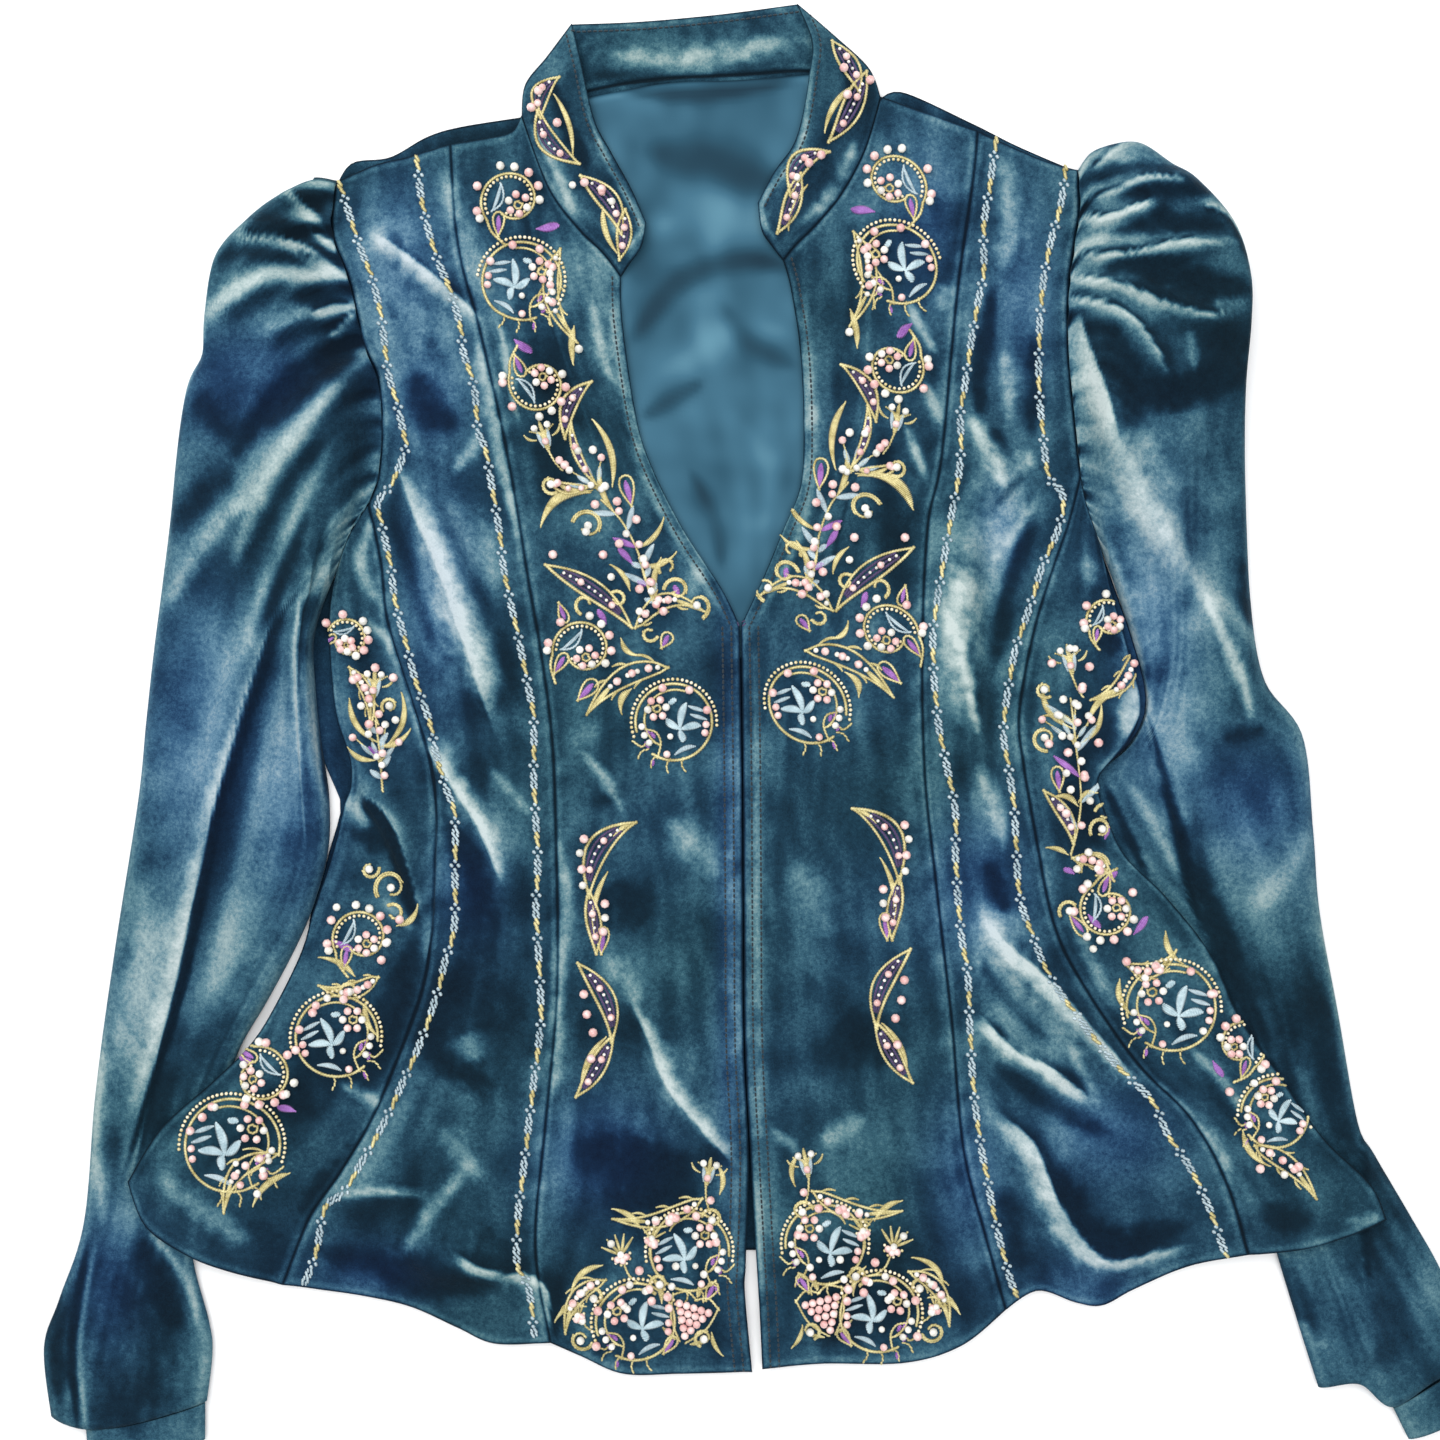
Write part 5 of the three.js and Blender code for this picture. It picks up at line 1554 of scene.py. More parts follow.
@dataclass(frozen=True)
class Shoot:
    """The camera and lights of the photograph, in metres.

    Args:
        effects: the node groups that the backdrop shares.
        centre: the point the camera looks at.
        height: of the camera over it.
        span: the width of the picture at the floor.
        reach: how far the floor runs each way.
        below: how far the floor lies under the blouse.
        sensor: the width of the camera's sensor, in millimetres.
    """

    effects: Effects
    centre: tuple[float, float] = (-0.02705, 0.00705)
    height: float = 1.1
    span: float = 0.792
    reach: float = 4.0
    below: float = 0.0006
    sensor: float = 36.0

    def set_up(self) -> None:
        """Adds the floor, the lights and the camera."""
        scene = bpy.context.scene
        scene.view_settings.view_transform = "Standard"
        self.floor()
        self.light("window", (-1.0, 1.15, 1.5), 1.5, 26.0)
        self.light("overhead", (0.25, -0.1, 2.0), 2.2, 30.0)
        scene.world = bpy.data.worlds.new("studio")
        scene.world.use_nodes = True
        sky = scene.world.node_tree.nodes["Background"].inputs
        sky[0].default_value, sky[1].default_value = (0.96, 0.98, 1.0, 1.0), 0.62
        camera = bpy.data.cameras.new("camera")
        camera.lens, camera.sensor_width = self.sensor * self.height / self.span, self.sensor
        scene.camera = put("camera", camera, (*self.centre, self.height))

    def floor(self) -> None:
        """Adds the pale floor."""
        paper = Surface("backdrop", self.effects, Roughness=0.95)
        paint = paper.paint(paper.ramp(paper.uneven(3.0, middle=0.5), ((0.3, "#fbfbfb"), (0.7, "#ffffff"))))
        mesh = bpy.data.meshes.new("floor")
        far, low = self.reach, -self.below
        corners = [(-far, -far, low), (far, -far, low), (far, far, low), (-far, far, low)]
        mesh.from_pydata(corners, [], [(0, 1, 2, 3)])
        mesh.materials.append(paint)
        obj = put("floor", mesh)

    def light(self, name: str, place: tuple[float, float, float], size: float, power: float) -> None:
        """Adds a soft square light that faces the blouse.

        Args:
            name: the light's name.
            place: where it hangs.
            size: the length of its sides.
            power: in watts.
        """
        lamp = bpy.data.lights.new(name, "AREA")
        lamp.size, lamp.energy = size, power
        aim = Vector((*self.centre, 0)) - Vector(place)
        put(name, lamp, place).rotation_euler = aim.to_track_quat("-Z", "Y").to_euler()


def put(name: str, data: bpy.types.ID, place: tuple[float, ...] = (0.0, 0.0, 0.0)) -> bpy.types.Object:
    """Adds an object to the scene.

    Args:
        name: the object's name.
        data: its mesh, light or camera.
        place: where it is, in metres.

    Returns:
        The object.
    """
    obj = bpy.data.objects.new(name, data)
    obj.location = place
    bpy.context.collection.objects.link(obj)
    return obj


class Floss(Enum):
    """The finishes that are sewn on."""

    GOLD = "gold_thread"
    SILVER = "silver_thread"
    PURPLE = "purple_thread"
    BLOSSOM = "blossom_thread"
    PLUM = "plum_thread"
    SEAM = "seam_thread"
    PINK = "pink_bead"
    PEARL = "pearl_bead"
    PICOT = "picot_bead"


FINISHES: dict[Floss, Thread | Bead] = {
    Floss.GOLD: Thread("#90813f", "#e7dca4", 0.2, 0.44),
    Floss.SILVER: Thread("#7b949f", "#c3d4da", 0.0, 0.5),
    Floss.PURPLE: Thread("#6d3186", "#b07ac8", 0.0, 0.45),
    Floss.BLOSSOM: Thread("#86a4af", "#cfe1e6", 0.0, 0.45),
    Floss.PLUM: Thread("#241a3c", "#4b3a6c", 0.0, 0.6),
    Floss.SEAM: Thread("#04121b", "#0e2b38", 0.0, 0.8),
    Floss.PINK: Bead("#dba8a4", "#f5d9d4"),
    Floss.PEARL: Bead("#cfcdc4", "#fbf8f0"),
    Floss.PICOT: Bead("#cdbd86", "#f3ead0", 0.3, 0.3),
}


@dataclass
class Sewn:
    """Everything of one finish that is sewn on one piece of cloth."""

    places: list[tuple[float, ...]] = field(default_factory=list)
    turns: list[tuple[float, ...]] = field(default_factory=list)
    sizes: list[tuple[float, ...]] = field(default_factory=list)


class Sewing(Nodes):
    """The Geometry Nodes tree that copies a form to every place of a group."""

    def __init__(self) -> None:
        super().__init__(bpy.data.node_groups.new("sewing", "GeometryNodeTree"))
        given, result = self.sockets({"Places": "Geometry", "Form": "Object", "Finish": "Material"},
                                     {"Sewn": "Geometry"})
        form = self.add("GeometryNodeObjectInfo", Object=given.outputs["Form"])
        turn, size = (self.add("GeometryNodeInputNamedAttribute", data_type="FLOAT_VECTOR", Name=name)
                      for name in ("turn", "size"))
        euler = self.add("FunctionNodeEulerToRotation", Euler=turn.outputs[0])
        copies = self.add("GeometryNodeInstanceOnPoints", Points=given.outputs["Places"],
                          Instance=form.outputs["Geometry"], Rotation=euler.outputs[0], Scale=size.outputs[0])
        real = self.add("GeometryNodeRealizeInstances", Geometry=copies.outputs[0])
        done = self.add("GeometryNodeSetMaterial", Geometry=real.outputs[0], Material=given.outputs["Finish"])
        self.give(result.inputs["Sewn"], done.outputs[0])

    def sprinkle(self, name: str, group: Sewn, form: bpy.types.Object,
                 finish: bpy.types.Material) -> bpy.types.Object:
        """Copies a form to every place of a group, as one mesh.

        Args:
            name: the object's name.
            group: the places, turns and sizes.
            form: what is copied.
            finish: its material.

        Returns:
            The object.
        """
        mesh = bpy.data.meshes.new(name + "_places")
        mesh.from_pydata(group.places, [], [])
        for key, rows in (("turn", group.turns), ("size", group.sizes)):
            mesh.attributes.new(key, "FLOAT_VECTOR", "POINT").data.foreach_set(
                "vector", np.asarray(rows, np.float32).ravel())
        obj = put(name, mesh)
        modifier = obj.modifiers.new("sewing", "NODES")
        modifier.node_group = self.tree
        modifier[self.identifiers["Form"]] = form
        modifier[self.identifiers["Finish"]] = finish
        made = bpy.data.meshes.new_from_object(obj.evaluated_get(bpy.context.evaluated_depsgraph_get()))
        obj.modifiers.clear()
        obj.data = made
        made.name = name
        return obj


class Needle:
    """Puts stitches and beads on whatever cloth lies on top at a place in plan.

    Args:
        shells: the pieces of cloth by name.
    """

    BEAD_SWELL = 1.08
    BEAD_RISE = 0.40
    STITCH_HEIGHT = 0.62
    STITCH_RISE = 0.3
    OVER_ALL = 0.2

    def __init__(self, shells: dict[str, Shell]) -> None:
        self.trees: dict[str, BVHTree] = {}
        for name, shell in shells.items():
            rows, columns = shell.upper.shape[:2]
            faces = [(j * columns + i, (j + 1) * columns + i, (j + 1) * columns + i + 1, j * columns + i + 1)
                     for j in range(rows - 1) for i in range(columns - 1)]
            self.trees[name] = BVHTree.FromPolygons(placed(shell.upper).reshape(-1, 3).tolist(), faces)
        self.sewn: dict[tuple[str, Floss], Sewn] = {}
        self.cloths: tuple[str, ...] = ()
        self.rng = np.random.default_rng(7)

    def on_cloth(self, x: float, y: float) -> tuple[str, Vector, Vector] | None:
        """Finds the uppermost piece at a place in plan.

        Args:
            x, y: the place, in millimetres.

        Returns:
            The piece's name, the point and its normal, or None where it isn't one that is sewn on now.
        """
        start = Vector(((x - MIDDLE[0]) * MM, (y - MIDDLE[1]) * MM, self.OVER_ALL))
        best = None
        for name, tree in self.trees.items():
            hit, normal, _, _ = tree.ray_cast(start, Vector((0, 0, -1)))
            if hit is not None and (best is None or hit.z > best[1].z):
                best = (name, hit, normal if normal.z > 0 else -normal)
        return best if best and best[0].startswith(self.cloths) else None

    def stitch(self, floss: Floss, x: float, y: float, angle: float, long: float, wide: float) -> None:
        """Sews one stitch.

        Args:
            floss: the thread.
            x, y: its middle in plan.
            angle: its direction, in radians.
            long, wide: its size, in millimetres.
        """
        found = self.on_cloth(x, y)
        if found is None:
            return
        name, point, normal = found
        aim = Vector((math.cos(angle), math.sin(angle), 0.0))
        aim = (aim - normal * aim.dot(normal)).normalized()
        turn = Matrix((aim, normal.cross(aim), normal)).transposed().to_euler("XYZ")
        thick = self.STITCH_HEIGHT * wide
        self._add(name, floss, point + normal * (self.STITCH_RISE * thick * MM), turn, (long, wide, thick))

    def bead(self, floss: Floss, x: float, y: float, across: float) -> None:
        """Sews one round bead.

        Args:
            floss: the bead's finish.
            x, y: its middle in plan.
            across: its width, in millimetres.
        """
        found = self.on_cloth(x, y)
        if found is None:
            return
        name, point, normal = found
        across *= self.BEAD_SWELL
        turn = self.rng.uniform(-0.3, 0.3, 3)
        self._add(name, floss, point + normal * (self.BEAD_RISE * across * MM), turn, (across,) * 3)

    def _add(self, name: str, floss: Floss, place: Vector, turn: Array, size: tuple[float, ...]) -> None:
        """Notes one stitch or bead.

        Args:
            name: the piece that it is sewn on.
            floss: its finish.
            place: its middle, in metres.
            turn: its rotation, as Euler angles.
            size: its length, width and height, in millimetres.
        """
        group = self.sewn.setdefault((name, floss), Sewn())
        group.places.append(tuple(place))
        group.turns.append(tuple(turn))
        group.sizes.append(tuple(s * MM for s in size))

    def finish(self, effects: Effects) -> dict[str, list[bpy.types.Object]]:
        """Makes the meshes.

        Args:
            effects: the node groups that the finishes share.

        Returns:
            The sewn-on objects of each piece of cloth.
        """
        made: dict[str, list[bpy.types.Object]] = {}
        materials = {floss: finish.make(floss.value, effects) for floss, finish in FINISHES.items()}
        sewing = Sewing()
        stitch = turned_form("stitch_form", [(-0.5, 0.0), (-0.28, 0.48), (0.28, 0.48), (0.5, 0.0)], 4)
        bead, dot = (turned_form("bead_form", half_circle(down), around, upright=True)
                     for around, down in ((8, 6), (6, 3)))
        for (name, floss), group in self.sewn.items():
            form = dot if floss is Floss.PICOT else bead if floss in (Floss.PINK, Floss.PEARL) else stitch
            obj = sewing.sprinkle(f"{name}_{floss.value}", group, form, materials[floss])
            made.setdefault(name, []).append(obj)
        for form in (stitch, bead, dot):
            bpy.data.objects.remove(form)
        return made


def half_circle(steps: int) -> list[Point]:
    """Places along an axis and radii round it that make a ball one unit across."""
    turns = [math.pi * j / steps for j in range(steps + 1)]
    return [(-0.5 * math.cos(turn), 0.5 * math.sin(turn)) for turn in turns]


def turned_form(name: str, profile: list[Point], around: int, upright: bool = False) -> bpy.types.Object:
    """A form that is turned round its length, with a point at both ends.

    Args:
        name: the object's name.
        profile: places along its length and radii, from end to end.
        around: how many sides it has.
        upright: True if its length runs up, False if it runs across.

    Returns:
        The object.
    """
    turns = [2 * math.pi * k / around for k in range(around)]
    corners = [(profile[0][0], 0.0, 0.0)]
    corners += [(x, r * math.cos(turn), r * math.sin(turn)) for x, r in profile[1:-1] for turn in turns]
    corners.append((profile[-1][0], 0.0, 0.0))
    last = len(corners) - 1
    faces = []
    for k in range(around):
        m = (k + 1) % around
        faces.append((0, 1 + m, 1 + k))
        for a in range(1, last - around, around):
            faces.append((a + k, a + m, a + around + m, a + around + k))
        faces.append((last, last - around + k, last - around + m))
    mesh = bpy.data.meshes.new(name)
    mesh.from_pydata([(y, z, x) for x, y, z in corners] if upright else corners, [], faces)
    mesh.polygons.foreach_set("use_smooth", np.ones(len(faces), bool))
    return put(name, mesh)


@dataclass(frozen=True)
class Mirror:
    """The line that the right front mirrors the left at; it leans, as the blouse does.

    Args:
        top: where it is at the top row, in pixels.
        lean: how far it moves for each pixel down.
        up: how much higher the right side lies.
    """

    top: float
    lean: float
    up: float

    def of(self, pixels: Array) -> Array:
        """The mirrored points."""
        axis = self.top + self.lean * pixels[:, 1]
        return np.column_stack([2 * axis - pixels[:, 0], pixels[:, 1] - self.up])


@dataclass
class Hoop:
    """An embroidery hoop: a place on the garment in which a motif is drawn.

    Motifs are drawn in photograph pixels, x to the right and y down, round the hoop's centre.

    Args:
        needle: what sews.
        mirror: where the motif is mirrored to the other side, if it is.
        x, y: the centre, in pixels.
        size: of one unit of the motif, in pixels.
        turn: clockwise, in degrees.
        flip: True to mirror it left to right.
    """

    needle: Needle
    mirror: Mirror | None = None
    x: float = 0.0
    y: float = 0.0
    size: float = 1.0
    turn: float = 0.0
    flip: bool = False

    def plan(self, places: Plan | Array) -> Array:
        """Places motif points on the garment.

        Args:
            places: the points, in the motif's units.

        Returns:
            The points in plan, in millimetres.
        """
        p = np.atleast_2d(np.asarray(places, float)) * self.size
        if self.flip:
            p = p * [-1, 1]
        a = math.radians(self.turn)
        p = np.column_stack([p[:, 0] * math.cos(a) - p[:, 1] * math.sin(a),
                             p[:, 0] * math.sin(a) + p[:, 1] * math.cos(a)]) + [self.x, self.y]
        return from_photo(self.mirror.of(p) if self.mirror else p)

    def curve(self, places: Plan | Array) -> Array:
        """A smooth curve through motif points, as plan millimetres."""
        path = self.plan(places)
        return spline_at(path, np.linspace(0, 1, 12 * len(path)))

    def line(self, places: Plan | Array, floss: Floss = Floss.GOLD, wide: float = 1.35,
             smoothed: bool = True) -> None:
        """Sews a line in stem stitch.

        Args:
            places: the points of the line.
            floss: the thread.
            wide: the width of a stitch, in millimetres.
            smoothed: True to draw a smooth curve through the points.
        """
        path = self.curve(places) if smoothed and len(places) > 2 else self.plan(places)
        row = walk(path, max(2, int(walked(path)[-1] / 1.55)))
        for (x, y), angle in zip(row, headings(row)):
            self.needle.stitch(floss, x, y, angle + 0.22, 2.9, wide)

    def beads(self, places: Plan | Array, floss: Floss = Floss.PEARL, across: float = 4.6) -> None:
        """Sews beads at points."""
        for x, y in self.plan(places):
            self.needle.bead(floss, x, y, across)

    def beaded_row(self, places: Plan | Array, across: float, step: float,
                   floss: Floss = Floss.PEARL) -> None:
        """Sews beads side by side along a line.

        Args:
            places: the points of the line.
            across: the width of a bead, in millimetres.
            step: from bead to bead.
            floss: the beads' finish.
        """
        path = self.curve(places)
        for x, y in walk(path, max(2, int(walked(path)[-1] / step))):
            self.needle.bead(floss, x, y, across)

    def dots(self, places: Plan | Array, across: float = 1.7, step: float = 2.3) -> None:
        """Sews small picot beads along a line."""
        self.beaded_row(places, across, step, Floss.PICOT)

    def petal(self, start: Point | Array, end: Point | Array, wide: float, floss: Floss = Floss.GOLD,
              bend: float = 0.0, full: float = 0.5) -> None:
        """Sews a petal filled with satin stitches across its length.

        Args:
            start, end: its ends.
            wide: its greatest width, in pixels.
            floss: the thread.
            bend: how far its middle is off the straight line, as a share of its length.
            full: where it is widest, from 0 to 1.
        """
        a, b = self.plan([start, end])
        along = b - a
        long = float(np.hypot(*along)) or 1e-6
        mirrored = -1.0 if self.flip ^ bool(self.mirror) else 1.0
        side = np.array([along[1], -along[0]]) * mirrored
        angle = math.atan2(along[1], along[0]) + math.pi / 2 - 0.45
        count = max(4, int(long / 0.85))
        for k in range(count):
            t = (k + 0.5) / count
            shape = math.sin(math.pi * t ** (math.log(0.5) / math.log(full))) ** 0.6
            x, y = a + along * t + side * bend * 4 * t * (1 - t)
            self.needle.stitch(floss, x, y, angle, max(1.2, wide * self.size * PIXEL * shape), 1.15)


def walk(path: Array, count: int) -> Array:
    """Evenly spaced points along a path."""
    return at_lengths(path, np.linspace(0, walked(path)[-1], count))


def headings(row: Array) -> Array:
    """The direction of a row of points at each of them, in radians."""
    return np.arctan2(*(np.gradient(row, axis=0).T[::-1]))


def polar(radius: float, degrees: float, centre: Point = (0.0, 0.0)) -> Point:
    """The point at a distance and an angle from a centre, clockwise from the right."""
    a = math.radians(degrees)
    return centre[0] + radius * math.cos(a), centre[1] + radius * math.sin(a)


def arc(radius: float, first: float, last: float, shrink: float = 0.0, centre: Point = (0.0, 0.0)) -> Array:
    """Points round a circle or spiral.

    Args:
        radius: at its start.
        first, last: its angles, clockwise in degrees from the right.
        shrink: how much smaller the radius is at its end, as a share.
        centre: of the circle.

    Returns:
        One row of x and y for each point.
    """
    a = np.radians(np.linspace(first, last, max(6, int(abs(last - first) / 12))))
    r = radius * (1 - shrink * np.linspace(0, 1, len(a)))
    return np.column_stack([centre[0] + r * np.cos(a), centre[1] + r * np.sin(a)])


def between(start: Point, end: Point, bend: float, wide: float, side: float, full: float = 0.45) -> Array:
    """One side of a leaf.

    Args:
        start, end: the leaf's ends.
        bend: how far its middle is off the straight line, as a share of its length.
        wide: its greatest width, in pixels.
        side: how far out the line runs, from -1 to 1, as a share of that width.
        full: where it is widest, from 0 to 1.

    Returns:
        One row of x and y for each of the line's points.
    """
    t = np.linspace(0, 1, 12)
    a, b = np.array(start, float), np.array(end, float)
    along = b - a
    across = np.array([-along[1], along[0]])
    shape = np.sin(math.pi * t ** (math.log(0.5) / math.log(full)))
    off = bend * 4 * t * (1 - t) + side * wide / np.hypot(*along) * shape
    return a + along * t[:, None] + across * off[:, None]


def scroll(hoop: Hoop) -> None:
    """A spiral with a beaded rim round a small flower; one unit is its radius.

    Args:
        hoop: where it is drawn.
    """
    hoop.line(arc(1.0, 140, 480, 0.46), wide=1.7)
    hoop.dots(arc(0.86, 150, 470, 0.46), 1.9, 2.5)
    hoop.line(points("-0.77,0.64 -0.62,1.0 -0.25,1.36"), wide=1.7)
    hoop.beads(arc(1.13, 160, 228)[::3], Floss.PINK, 4.8)
    hoop.beads(points("-0.98,0.6 -0.35,-1.04 0.1,-1.0"))
    hoop.beads(points("0.5,-0.82 0.8,-0.42"), Floss.PINK, 4.8)
    hoop.beads(points("0.84,0.02"))
    start, end = points("-0.6,0.34 -0.34,-0.5")
    hoop.line(between(start, end, 0.1, 0.13, 1.0), Floss.SILVER, 1.3, False)
    hoop.petal(start, end, 0.15, Floss.SILVER, 0.04)
    drop(hoop, (-0.42, 1.12), (-0.4, 0.5), 0.3, True)
    daisy(hoop, (0.2, 0.16), 0.3)


def daisy(hoop: Hoop, centre: Point, size: float) -> None:
    """Beads by turns pink and pale round a gold heart.

    Args:
        hoop: where it is drawn.
        centre, size: of the flower.
    """
    hoop.line(arc(0.45 * size, 0, 330, 0.3, centre), wide=1.5)
    for k in range(6):
        hoop.beads([polar(size, 60 * k + 20, centre)], Floss.PINK if k % 3 else Floss.PEARL, 4.2)


def blossom(hoop: Hoop, x: float, y: float, size: float) -> None:
    """Four pale petals with a bead.

    Args:
        hoop: where it is drawn.
        x, y: where the petals meet.
        size: of the flower.
    """
    for angle, long in ((-158, 0.85), (-92, 1.1), (-28, 0.7), (112, 0.5)):
        hoop.petal((x, y), polar(size * long, angle, (x, y)), size * 0.4, Floss.BLOSSOM, 0.08, 0.55)
    hoop.beads([(x + 0.32 * size, y + 0.34 * size)], Floss.PEARL, 3.4)


def medallion(hoop: Hoop) -> None:
    """A ring round a pale blossom, with a beaded top; one unit is its radius.

    Args:
        hoop: where it is drawn.
    """
    hoop.line(arc(1.0, 70, 385), wide=1.7)
    hoop.line(arc(0.86, 262, 420, 0.16), wide=1.4)
    hoop.dots(arc(1.13, 188, 392, 0.02), 2.0, 2.5)
    hoop.beads(arc(0.93, 212, 300)[::3], Floss.PINK, 4.6)
    blossom(hoop, -0.2, 0.16, 0.66)
    for up, start in ((-0.44, -0.74), (-0.24, -0.84)):
        hoop.petal((start, up), (start + 0.46, up - 0.05), 0.14, Floss.SILVER)
    hoop.petal((-0.7, 0.5), (-0.2, 0.84), 0.17, Floss.SILVER, -0.1)
    hoop.petal((0.05, -0.58), (0.24, -0.46), 0.22, Floss.BLOSSOM)
    daisy(hoop, (0.5, -0.26), 0.24)
    hoop.beads(arc(0.84, 20, 60)[::2], Floss.PEARL, 3.8)
    hoop.beads(points("-0.86,0.1 -0.84,-0.12 0.0,0.86"), Floss.PINK, 4.0)
    hoop.line(points("0.22,0.98 0.22,0.6 0.4,0.36 0.66,0.34"), wide=1.3)
    hoop.line(points("0.24,0.66 0.52,0.62 0.68,0.8 0.92,0.72"), wide=1.3)
    for x, y in points("0.4,0.52 0.56,0.46 0.5,0.8"):
        hoop.petal((x, y), (x + 0.12, y - 0.14), 0.15, Floss.PURPLE)
    for angle in (58, 76, 96, 116):
        bent, tip = angle - math.degrees(0.06), angle - math.degrees(0.02)
        hoop.line([polar(1.0, angle), polar(1.14, bent), polar(1.3, tip)], wide=1.2)
    hoop.petal((0.32, 1.05), (0.3, 1.24), 0.12, Floss.PURPLE)


def leaf(hoop: Hoop, start: Point, end: Point, wide: float, bend: float, core: bool = True) -> None:
    """A leaf in a gold outline.

    Args:
        hoop: where it is drawn.
        start, end: its ends.
        wide: its width, in pixels.
        bend: how far its middle is off the straight line, as a share of its length.
        core: True for a dark beaded core, False for a row of pink beads.
    """
    hoop.line(between(start, end, bend, wide, 0.85), smoothed=False, wide=1.9)
    hoop.line(between(start, end, bend, wide, -0.25, 0.55), smoothed=False, wide=1.6)
    middle = between(start, end, bend, wide, 0.3)
    if core:
        for off in (0.05, 0.3, 0.55):
            hoop.line(between(start, end, bend, wide, off)[2:-2], Floss.PLUM, 1.5, False)
        hoop.beaded_row(middle[2:-3], 1.8, 3.4)
        hoop.beads(middle[4:9:4], Floss.PINK, 3.9)
    else:
        hoop.beaded_row(middle[2:-2], 3.3, 4.8, Floss.PINK)


def horn(hoop: Hoop, start: Point, end: Point, wide: float, bend: float) -> None:
    """A tapered leaf with a row of beads between its lines, a filled tip and barbs on both sides.

    Args:
        hoop: where it is drawn.
        start, end: its ends.
        wide: its width, in pixels.
        bend: how far its middle is off the straight line, as a share of its length.
    """
    outer, inner, middle = (between(start, end, bend, wide, side, 0.36) for side in (0.72, -0.42, 0.14))
    hoop.line(outer, smoothed=False, wide=1.6)
    hoop.line(inner, smoothed=False, wide=1.5)
    hoop.petal(middle[7], end, wide * 0.42, full=0.4)
    hoop.beaded_row(middle[1:8], 2.9, 4.4)
    hoop.beads(middle[2:7:2], Floss.PINK, 4.4)
    for side, first in ((outer, 2), (inner, 4)):
        for k in range(first, 10, 3):
            step = side[k] - side[k - 1]
            out = side[k] - middle[k]
            away = out / (np.hypot(*out) + 1e-9) * np.hypot(*step)
            hoop.petal(side[k - 1], side[k] + 0.65 * away + 0.7 * step, 0.24 * wide, bend=0.12)


def slender(hoop: Hoop, start: Point, end: Point, wide: float, bend: float) -> None:
    """A slim leaf filled with gold; wide is its width in pixels, bend as for a leaf."""
    hoop.petal(start, end, wide, Floss.GOLD, bend, 0.45)
    hoop.line(between(start, end, bend, 0.5 * wide, 0.0), wide=1.0, smoothed=False)


def drop(hoop: Hoop, start: Point, end: Point, wide: float, ringed: bool = False) -> None:
    """A purple drop.

    Args:
        hoop: where it is drawn.
        start, end: its ends.
        wide: its width, in pixels.
        ringed: True for a gold outline round it.
    """
    hoop.petal(start, end, wide * (0.7 if ringed else 1.0), Floss.PURPLE, 0.0, 0.62)
    if ringed:
        a, b = np.array(start, float), np.array(end, float)
        along = 1.2 * (b - a)
        across = np.array([-along[1], along[0]]) / np.hypot(*along) * 0.62 * wide
        turn = np.linspace(0, 2 * math.pi, 16)
        share = 0.5 - 0.5 * np.cos(turn)
        hoop.line(a + along * share[:, None] + across * (np.sin(turn) * share ** 0.6)[:, None] * 1.3,
                  smoothed=False)


def curl(hoop: Hoop, x: float, y: float, radius: float, first: float, sweep: float,
         bead: bool = True) -> None:
    """A gold curl.

    Args:
        hoop: where it is drawn.
        x, y, radius: its centre and size, in pixels.
        first, sweep: where it starts and how far it runs, clockwise in degrees.
        bead: True for a bead at its centre.
    """
    hoop.line(arc(radius, first, first + sweep, 0.55, (x, y)), wide=1.7)
    hoop.line(arc(radius * 1.14, first, first + 0.6 * sweep, 0.3, (x, y)), wide=1.2)
    if bead:
        hoop.beads([(x, y)], Floss.PEARL, 4.4)


def tulip(hoop: Hoop) -> None:
    """A bud of pointed petals on a stem, pointing up; one unit is its width.

    Args:
        hoop: where it is drawn.
    """
    for side in (-1, 1):
        hoop.petal((0.0, 0.52), (side * 0.5, -0.46), 0.24, bend=-0.26 * side)
        hoop.petal((side * 0.3, -0.05), (side * 0.72, -0.4), 0.14, bend=0.16 * side)
        hoop.petal((side * 0.12, 0.3), (side * 0.22, -0.42), 0.2, Floss.SILVER)
    hoop.petal((0.0, -0.1), (0.0, -0.75), 0.22)
    hoop.petal((0.0, 0.42), (0.0, -0.15), 0.2)
    hoop.beads(points("-0.26,-0.5 0.26,-0.5"), Floss.PEARL, 3.8)
    hoop.beads([(0.0, 0.1)], Floss.PINK, 4.0)
    hoop.line(points("0.0,0.5 0.1,0.95 0.25,1.3"))
    hoop.beads([(0.28, 0.95)], Floss.PINK, 4.4)


def spray(hoop: Hoop) -> None:
    """White petals and beads that fan up from a point; one unit is its height.

    Args:
        hoop: where it is drawn.
    """
    for angle, long in ((-150, 0.9), (-125, 0.75), (-95, 0.95), (-60, 0.7)):
        tip = np.array(polar(long, angle))
        hoop.line([(0, 0), tip * (0.5, 0.55), tip], wide=0.95)
        hoop.petal(tip * 0.25, tip * 0.72, 0.16, Floss.SILVER)
        hoop.beads([tip], Floss.PEARL if angle % 2 else Floss.PINK, 4.2)
    hoop.beads(points("0.08,0.05 -0.1,-0.12"), Floss.PEARL, 3.8)


def branch(hoop: Hoop, stem: str) -> None:
    """A stem with white petals and purple buds on both sides.

    Args:
        hoop: where it is drawn.
        stem: its points, in pixels.
    """
    hoop.line(points(stem))
    path = spline_at(points(stem), np.linspace(0, 1, 7))
    for k in range(1, 6):
        step = path[k + 1] - path[k - 1]
        across = np.array([-step[1], step[0]]) * (1 if k % 2 else -1)
        tip = path[k] - 0.46 * step + 0.46 * across
        hoop.petal(path[k], tip, 8.5, Floss.SILVER if k % 3 else Floss.PURPLE)
    hoop.beads(path[1:6:2] + [3, -3], Floss.PINK, 4.3)


